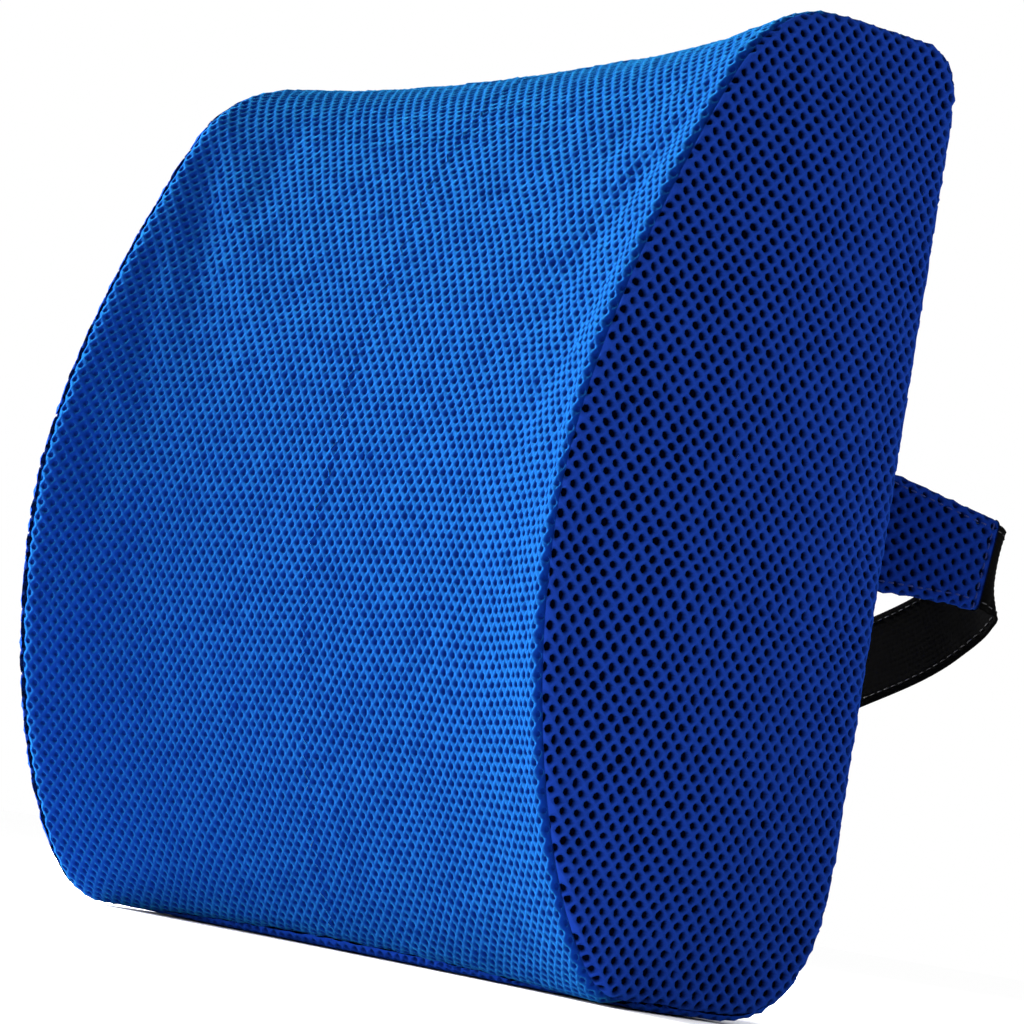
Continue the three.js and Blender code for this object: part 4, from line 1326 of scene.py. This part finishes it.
def elastic_lines():
    right = elastic_drop(1, [(125, 57.3, 139), (98, 55, 127.5), (69, 53.5, 116.5)], PLUG_BAR_X + 12)
    right = np.vstack([right, (PLUG_BAR_X + 6, STRAP_Y - LAYER_Y, STRAP_Z)])
    turn = [(PLUG_BAR_X + 8.5, STRAP_Y - LAYER_Y, STRAP_Z), *round_bar(PLUG_BAR_X, 1)]
    turn = np.array([*turn, (PLUG_BAR_X + 22, STRAP_Y + LAYER_Y, STRAP_Z)])
    left = elastic_drop(-1, [(125, 57.3, 137.5), (108, 55, 124.5), (92, 53.6, 114.8)], 77.0)
    left = np.vstack([left, round_bar(SOCKET_BAR_X, -1)])
    tail = [(SOCKET_BAR_X - 0.3, STRAP_Y + LAYER_Y), (SOCKET_BAR_X - 4, STRAP_Y + LAYER_Y)]
    tail += [(ADJUSTER_X + 20.5, TAIL_Y), (ADJUSTER_X + 4.3, TAIL_Y)]
    tail = np.array([(a, b, STRAP_Z) for a, b in tail])
    # the end loop stands 0.3 off the adjuster's centre bar, which is 5 wide and reaches 2.2 behind its middle
    x, y = 2.5 + ELASTIC_T / 2, 56.2 + 2.2 + 0.3 + ELASTIC_T / 2
    loop = [(-x, TAIL_Y), (-x, y - 1), (-x + 1, y), (x - 1, y), (x, y - 1)]
    loop += [(x, TAIL_Y + 0.6), (x - 0.8, TAIL_Y), (-x + 1.6, TAIL_Y)]
    loop = np.array([(ADJUSTER_X + a, b, STRAP_Z) for a, b in loop])
    return {
        "elastic_right": right,
        "elastic_left": left,
        "elastic_tail": tail,
        "elastic_end_loop": loop,
        "elastic_plug_loop": turn,
    }


RIBS = 15  # lengthwise cords across half the width of the elastic


def band(name, line, step, grow, bare):
    """A woven elastic band: rounded selvedges, lengthwise cords and fine cross ribs.

    grow makes it that much larger all round, and bare is how many steps at its end have no stitches.
    """
    line = resampled(line, step)
    along = unit(np.gradient(line, axis=0))
    up = unit(np.array((0, 0, 1.0)) - along * along[:, 2:3])
    out = np.cross(along, up)
    half, t = STRAP_W / 2 + grow, ELASTIC_T / 2 + grow
    face = np.linspace(-half + 0.5, half - 0.5, 2 * RIBS + 1)
    cord = 0.085 * np.cos(math.pi * np.arange(len(face)))
    top = [(v, t - 0.08 + c) for v, c in zip(face, cord)]
    low = [(v, -t + 0.08 - c) for v, c in zip(face[::-1], cord)]
    right = [(half - 0.1, t * 0.6), (half, 0.0), (half - 0.1, -t * 0.6)]
    left = [(-half + 0.1, -t * 0.6), (-half, 0.0), (-half + 0.1, t * 0.6)]
    section = np.array(top + right + low + left)
    count = len(section)
    s = line_lengths(line)
    rib = 1 + 0.05 * np.cos(math.tau * s / (2 * step))
    rise = section[None, :, 1] * rib[:, None]
    points = line[:, None] + up[:, None] * section[None, :, 0, None] + out[:, None] * rise[..., None]
    cloth = np.stack(np.broadcast_arrays(s[:, None], line_lengths(section)[None]), -1).reshape(-1, 2)
    # painted shade across the band: darkest on the selvedges and in the grooves between the cords, lightest on the
    # cords
    tone = np.broadcast_to((np.abs(section[:, 1]) - t + 0.2) * 4, (len(line), count))
    n = len(line) * count
    k = np.arange(count)
    nxt = (k + 1) % count
    caps = np.concatenate(
        [
            np.stack([np.full(count, n), nxt, k], 1),
            np.stack([np.full(count, n + 1), n - count + k, n - count + nxt], 1),
        ]
    )
    obj = mesh_piece(
        name,
        np.concatenate([points.reshape(-1, 3), line[[0, -1]]]),
        [(ring_quads(len(line), count)[:, ::-1], 0), (caps[:, ::-1], 0)],
        [M["elastic"]],
        tone=np.concatenate([tone.ravel(), [0.5, 0.5]]),
        cloth=np.concatenate([cloth, [(0, 0), (s[-1], 0)]]),
    )
    rows = []
    sewn = slice(0, len(line) - bare)
    for edge in (-1, 1):
        for face_side in (-1, 1):
            offset = up * (edge * (half - 2.4)) + out * (face_side * (t + 0.02))
            rows.append(stitch_row((line + offset)[sewn], (out * face_side)[sewn], 2.0, 1.3, 0.17, 0.03))
    return obj, merged_piece(f"{name}_stitches", rows, "thread_grey")


def make_strap():
    bodies = {
        "elastic_right": "strap",
        "elastic_left": "strap",
        "elastic_tail": "strap",
        "elastic_end_loop": "adjuster",
        "elastic_plug_loop": "plug",
    }
    squashes = {
        "elastic_right": ("buckle_release", (0.160, 0.116, 0.163), 0.749),
        "elastic_tail": ("adjuster_slide", (-0.0124, 0.115, 0.111), 0.514),
    }
    for name, line in elastic_lines().items():
        step = 0.5 if "loop" in name or "tail" in name else 1.0
        grow, bare = (0.12, 0) if "plug" in name else (0.0, 9) if "right" in name else (0.0, 0)
        for obj in band(f"{name}_band", line, step, grow, bare):
            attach(obj, bodies[name])
            if name in squashes:
                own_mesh(obj)
            if not obj.name.endswith("stitches"):
                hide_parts("elastic_right" if "plug" in name else name)
    for word, side in (("left", -1), ("right", 1)):
        for obj in make_tab(word, side):
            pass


# ------------------------------------------------------------------ zip and label

COIL_PITCH = 1.15
COIL_STEPS = 8
COIL_W = 2.5
COIL_SPLIT = 0.6
CHAIN_HALF = 140.0
COIL_Y = -1.1
TAPE_Y = -1.25
TAPE_T = 0.7


def coil(name, sign):
    """One half of the chain: a flattened helix of nylon wire, sewn to the tape's edge."""
    turns = int(2 * CHAIN_HALF / COIL_PITCH)
    k = np.arange(turns * COIL_STEPS + 1)
    angle = math.tau * k / COIL_STEPS
    start = -CHAIN_HALF + 0.6 + (0.28 if sign > 0 else -0.22) * COIL_PITCH * 0.5
    x = start + (2 * CHAIN_HALF - 1.2) * k / k[-1]
    reach = COIL_W / 2 - 0.33
    z = ZIP_Z + sign * (COIL_SPLIT + COIL_W / 2 - 0.25 - reach * np.cos(angle))
    y = COIL_Y + 0.48 * np.sin(angle)
    return one_material(name, *tube(np.stack([x, y, z], 1), 0.32, 6, up=(1, 0, 0)), "coil")


def tape(name, sign):
    """The woven tape beside the chain, with fine ribs along it and a raised edge."""
    z0 = COIL_SPLIT + COIL_W + 0.3
    across = np.linspace(z0, ZIP_OPENING - 0.3, 25)
    ridge = 0.07 * np.cos(math.pi * np.arange(25)) + 0.12 * smoothstep(z0 + 0.9, z0, across)
    top = TAPE_Y + TAPE_T / 2 + ridge
    low = TAPE_Y - TAPE_T / 2 - ridge
    section = np.concatenate([np.stack([across, top], 1), np.stack([across, low], 1)[::-1]])
    x = np.linspace(-BACK_SEAM_X + 0.6, BACK_SEAM_X - 0.6, 90)
    count = len(section)
    points = np.zeros((len(x), count, 3))
    points[..., 0] = x[:, None]
    points[..., 1] = section[None, :, 1]
    points[..., 2] = ZIP_Z + sign * section[None, :, 0]
    faces = ring_quads(len(x), count)[:, ::-sign]
    caps = np.array([np.arange(count)[::-1], (len(x) - 1) * count + np.arange(count)])[:, ::-sign]
    return mesh_piece(name, points.reshape(-1, 3), [(faces, 0), (caps, 0)], [M["tape"]], smooth=False)


def end_patch(name, side):
    """The closed end of the opening, a patch of tape between a stop and the side seam."""
    x = side * np.linspace(CHAIN_HALF + 2.6, BACK_SEAM_X - 0.6, 9)
    z = ZIP_Z + np.linspace(-1, 1, 15) * (COIL_SPLIT + COIL_W + 0.25)
    gx, gz = np.meshgrid(x, z, indexing="ij")
    ridge = 0.05 * np.cos(math.pi * np.arange(15))[None] * np.ones(gx.shape)
    faces = [np.stack([gx, TAPE_Y + s * (TAPE_T / 2 + ridge), gz], -1).reshape(-1, 3) for s in (1, -1)]
    return one_material(name, np.concatenate(faces), slab_faces(*gx.shape)[:, ::side], "tape", smooth=False)


def make_label():
    """A blank satin label, folded over at its sewn edge, with a slight curl at its foot."""
    x0, width, height, top = 104.0, 24.0, 34.0, ZIP_Z - ZIP_OPENING - 1
    gx, gz = np.meshgrid(np.linspace(-width / 2, width / 2, 25), np.linspace(0, height, 35), indexing="ij")
    curl = 0.35 + 0.9 * (gz / height) ** 3 * (0.6 + 0.4 * np.cos(gx / 5.0)) + 0.15 * np.sin(gx / 3.1 + gz / 7)
    curl = np.maximum(curl, 0.3)
    hem = 0.18 * (smoothstep(1.6, 1.2, gz) + smoothstep(height - 1.6, height - 1.2, gz))
    faces = [np.stack([x0 + gx, y, top - gz], -1).reshape(-1, 3) for y in (curl + 0.25 + hem, curl)]
    label = one_material("label_satin", np.concatenate(faces), slab_faces(*gx.shape), "label")
    line = np.stack([np.linspace(x0 - 11, x0 + 11, 30), np.full(30, 0.75), np.full(30, top - 1.0)], 1)
    row = stitch_row(line, (0.0, 1.0, 0.0), 2.0, 1.0, 0.2, 0.1)
    sewing = one_material("label_stitches", *row, "thread_white")
    return label, sewing


def make_zip():
    for word, sign in (("upper", 1), ("lower", -1)):
        chain = coil(f"coil_{word}", sign)
        cloth = tape(f"tape_{word}", sign)
        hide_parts(f"zip_coil_{word}")
        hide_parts(f"zip_tape_{word}")
        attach(chain, "cushion")
        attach(cloth, "cushion")
    for word, side in (("left", -1), ("right", 1)):
        patch = end_patch(f"zip_end_{word}", side)
        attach(patch, "cushion")
    label, sewing = make_label()
    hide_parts("care_label")
    for obj in (label, sewing):
        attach(obj, "cushion")


# ------------------------------------------------------------------ hard parts


def rounded_copy(node, name, material, width, segments=3):
    """A copy of a CAD node with its edges rounded, standing for the node."""
    mesh = bpy.data.objects[node].data.copy()
    mesh.name = name
    mesh.materials.clear()
    mesh.materials.append(material)
    obj = placed(name, mesh)
    bm = bmesh.new()
    bm.from_mesh(mesh)
    bmesh.ops.remove_doubles(bm, verts=bm.verts, dist=1e-6)
    bmesh.ops.dissolve_limit(
        bm,
        angle_limit=math.radians(1.0),
        use_dissolve_boundaries=False,
        verts=bm.verts,
        edges=bm.edges,
        delimit=set(),
    )
    sharp = [e for e in bm.edges if len(e.link_faces) == 2 and e.calc_face_angle(0) > math.radians(30)]
    bmesh.ops.bevel(
        bm,
        geom=sharp,
        offset=width * MM,
        offset_type="OFFSET",
        segments=segments,
        profile=0.5,
        affect="EDGES",
        clamp_overlap=True,
        harden_normals=False,
    )
    bmesh.ops.triangulate(bm, faces=[f for f in bm.faces if len(f.verts) > 4])
    bm.to_mesh(mesh)
    bm.free()
    mesh.polygons.foreach_set("use_smooth", np.ones(len(mesh.polygons), bool))
    mesh.set_sharp_from_angle(angle=math.radians(50))
    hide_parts(node)
    return obj


def grip_ribs(name, x0, x1, half_h, body):
    """Three low rounded ribs across each face, as finger grips."""
    parts = []
    reach = np.linspace(-1, 1, 9)
    radius = 0.45 * np.sqrt(np.clip(1 - reach**6, 0.05, 1))
    for x in np.linspace(x0, x1, 3):
        for side in (1, -1):
            line = np.stack([np.full(9, x), np.full(9, STRAP_Y + side * 5.5), STRAP_Z + reach * half_h], 1)
            parts.append(tube(line, radius, up=(1, 0, 0)))
    obj = merged_piece(name, parts, "plastic")
    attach(obj, body)


def make_hardware():
    plastic = {
        "buckle_socket": ("strap", 0.7),
        "buckle_plug": ("plug", 0.55),
        "buckle_prong_upper": ("prong_up", 0.5),
        "buckle_prong_lower": ("prong_low", 0.5),
        "strap_adjuster": ("adjuster", 0.45),
    }
    for node, (body, width) in plastic.items():
        obj = rounded_copy(node, f"{node}_moulded", M["plastic"], width)
        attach(obj, body)
    metal = {
        "zip_slider": ("slider", 0.22),
        "zip_pull": ("pull", 0.3),
        "zip_stop_left": ("cushion", 0.25),
        "zip_stop_right": ("cushion", 0.25),
    }
    for node, (body, width) in metal.items():
        obj = rounded_copy(node, f"{node}_cast", M["metal"], width, 2)
        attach(obj, body)
    grip_ribs("socket_grips", -11.5, -7.5, 12.0, "strap")
    grip_ribs("plug_grips", 31.0, 34.5, 11.0, "plug")


# ------------------------------------------------------------------ inside the cover


def make_inside():
    """The foam block and the sock over it, from the same form as the cover."""
    points, quads = form_mesh()
    moved = points + puff.at(points)
    for name, node, inset, slot in (
        ("liner_sock", "core_liner", LINER_IN, "liner"),
        ("foam_block", "foam_core", FOAM_IN, "foam"),
    ):
        obj = form_piece(name, moved, quads, [M[slot]], inset)
        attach(obj, "cushion")
        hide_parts(node)


# ------------------------------------------------------------------ camera, lights, floor


# the camera turns round CAMERA_AIM and stands this far off it, in millimetres
AZIMUTH, ELEVATION, ROLL = (math.radians(d) for d in (54.53, -5.86, 9.5))
CAMERA_AIM = (0, -50, 165)
CAMERA_DISTANCE, CAMERA_RIGHT, CAMERA_UP = 1306.4, 13.2, -4.2
SENSOR = 36.0
FOCAL_PIXELS = 3653  # focal length in pixels of a 1024-pixel picture


def make_camera():
    """Three-quarter view from the front right, a little below the middle, with the camera rolled."""
    flat = math.cos(ELEVATION)
    back = Vector((math.sin(AZIMUTH) * flat, -math.cos(AZIMUTH) * flat, math.sin(ELEVATION)))
    level = (-back).cross(Vector((0, 0, 1))).normalized()
    upright = level.cross(-back)
    right = level * math.cos(ROLL) + upright * math.sin(ROLL)
    up = -level * math.sin(ROLL) + upright * math.cos(ROLL)
    place = Vector(CAMERA_AIM) + back * CAMERA_DISTANCE + right * CAMERA_RIGHT + up * CAMERA_UP
    place.y += BACK_Y
    data = bpy.data.cameras.new("camera")
    data.sensor_width = SENSOR
    data.lens = FOCAL_PIXELS / 1024 * SENSOR
    data.clip_start, data.clip_end = 0.05, 60
    camera = placed("camera", data)
    camera.matrix_world = Matrix.Translation(place * MM) @ Matrix((right, up, back)).transposed().to_4x4()
    bpy.context.scene.camera = camera


def area_light(name, place, aim, size, power):
    data = bpy.data.lights.new(name, "AREA")
    data.shape = "RECTANGLE"
    data.size, data.size_y = size
    data.energy = power
    light = placed(name, data)
    light.location = place
    light.rotation_mode = "QUATERNION"
    light.rotation_quaternion = (Vector(aim) - Vector(place)).to_track_quat("-Z", "Y")


def make_floor():
    """A pale disc, finer near its middle."""
    n = Nodes("studio_floor")
    shade = n.noise(n.position((1, 1, 1)), 3.0, 3.0)
    n.finish(n.mix(shade, (0.975, 0.975, 0.975), (1.0, 1.0, 1.0)), 0.9, Specular_IOR_Level=0.0)
    count = 96
    turn = math.tau * np.arange(count) / count
    points = [(0.0, 0.0, 0.0)]
    for radius in (1.0, 40.0):
        points += zip((radius * np.cos(turn)).tolist(), (radius * np.sin(turn)).tolist(), [0.0] * count)
    nxt = [(k + 1) % count for k in range(count)]
    faces = [(0, 1 + a, 1 + b) for a, b in enumerate(nxt)]
    faces += [(1 + a, 1 + count + a, 1 + count + b, 1 + b) for a, b in enumerate(nxt)]
    mesh = bpy.data.meshes.new("floor")
    mesh.from_pydata(points, [], faces)
    mesh.materials.append(n.material)
    floor = placed("floor", mesh)
    floor.location.z = -0.0006


def make_studio():
    scene = bpy.context.scene
    scene.view_settings.view_transform = "Standard"
    scene.world = bpy.data.worlds.new("studio")
    scene.world.use_nodes = True
    background = scene.world.node_tree.nodes["Background"]
    background.inputs["Color"].default_value = (1.0, 1.0, 1.0, 1)
    background.inputs["Strength"].default_value = 1.0
    area_light("key", (-1.9, -0.38, 0.52), (0.05, -0.05, 0.17), (0.6, 1.0), 460)
    area_light("fill", (1.6, -1.5, 0.9), (0.0, 0.0, 0.16), (1.4, 1.4), 2)
    area_light("rim", (0.9, 1.7, 1.0), (0.0, 0.05, 0.15), (1.2, 1.0), 10)
    make_floor()


make_camera()
make_studio()
cover = make_cover()
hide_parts("cover_front_panel")
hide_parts("cover_base_panel")
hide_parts("cover_back_upper")
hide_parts("cover_back_lower")
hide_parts("cover_side_left")
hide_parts("cover_side_right")
for name, obj in cover.items():
    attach(obj, "cushion")
for obj in make_seams():
    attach(obj, "cushion")
stitches = topstitching()
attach(stitches, "cushion")
make_zip()
make_strap()
make_hardware()
make_inside()
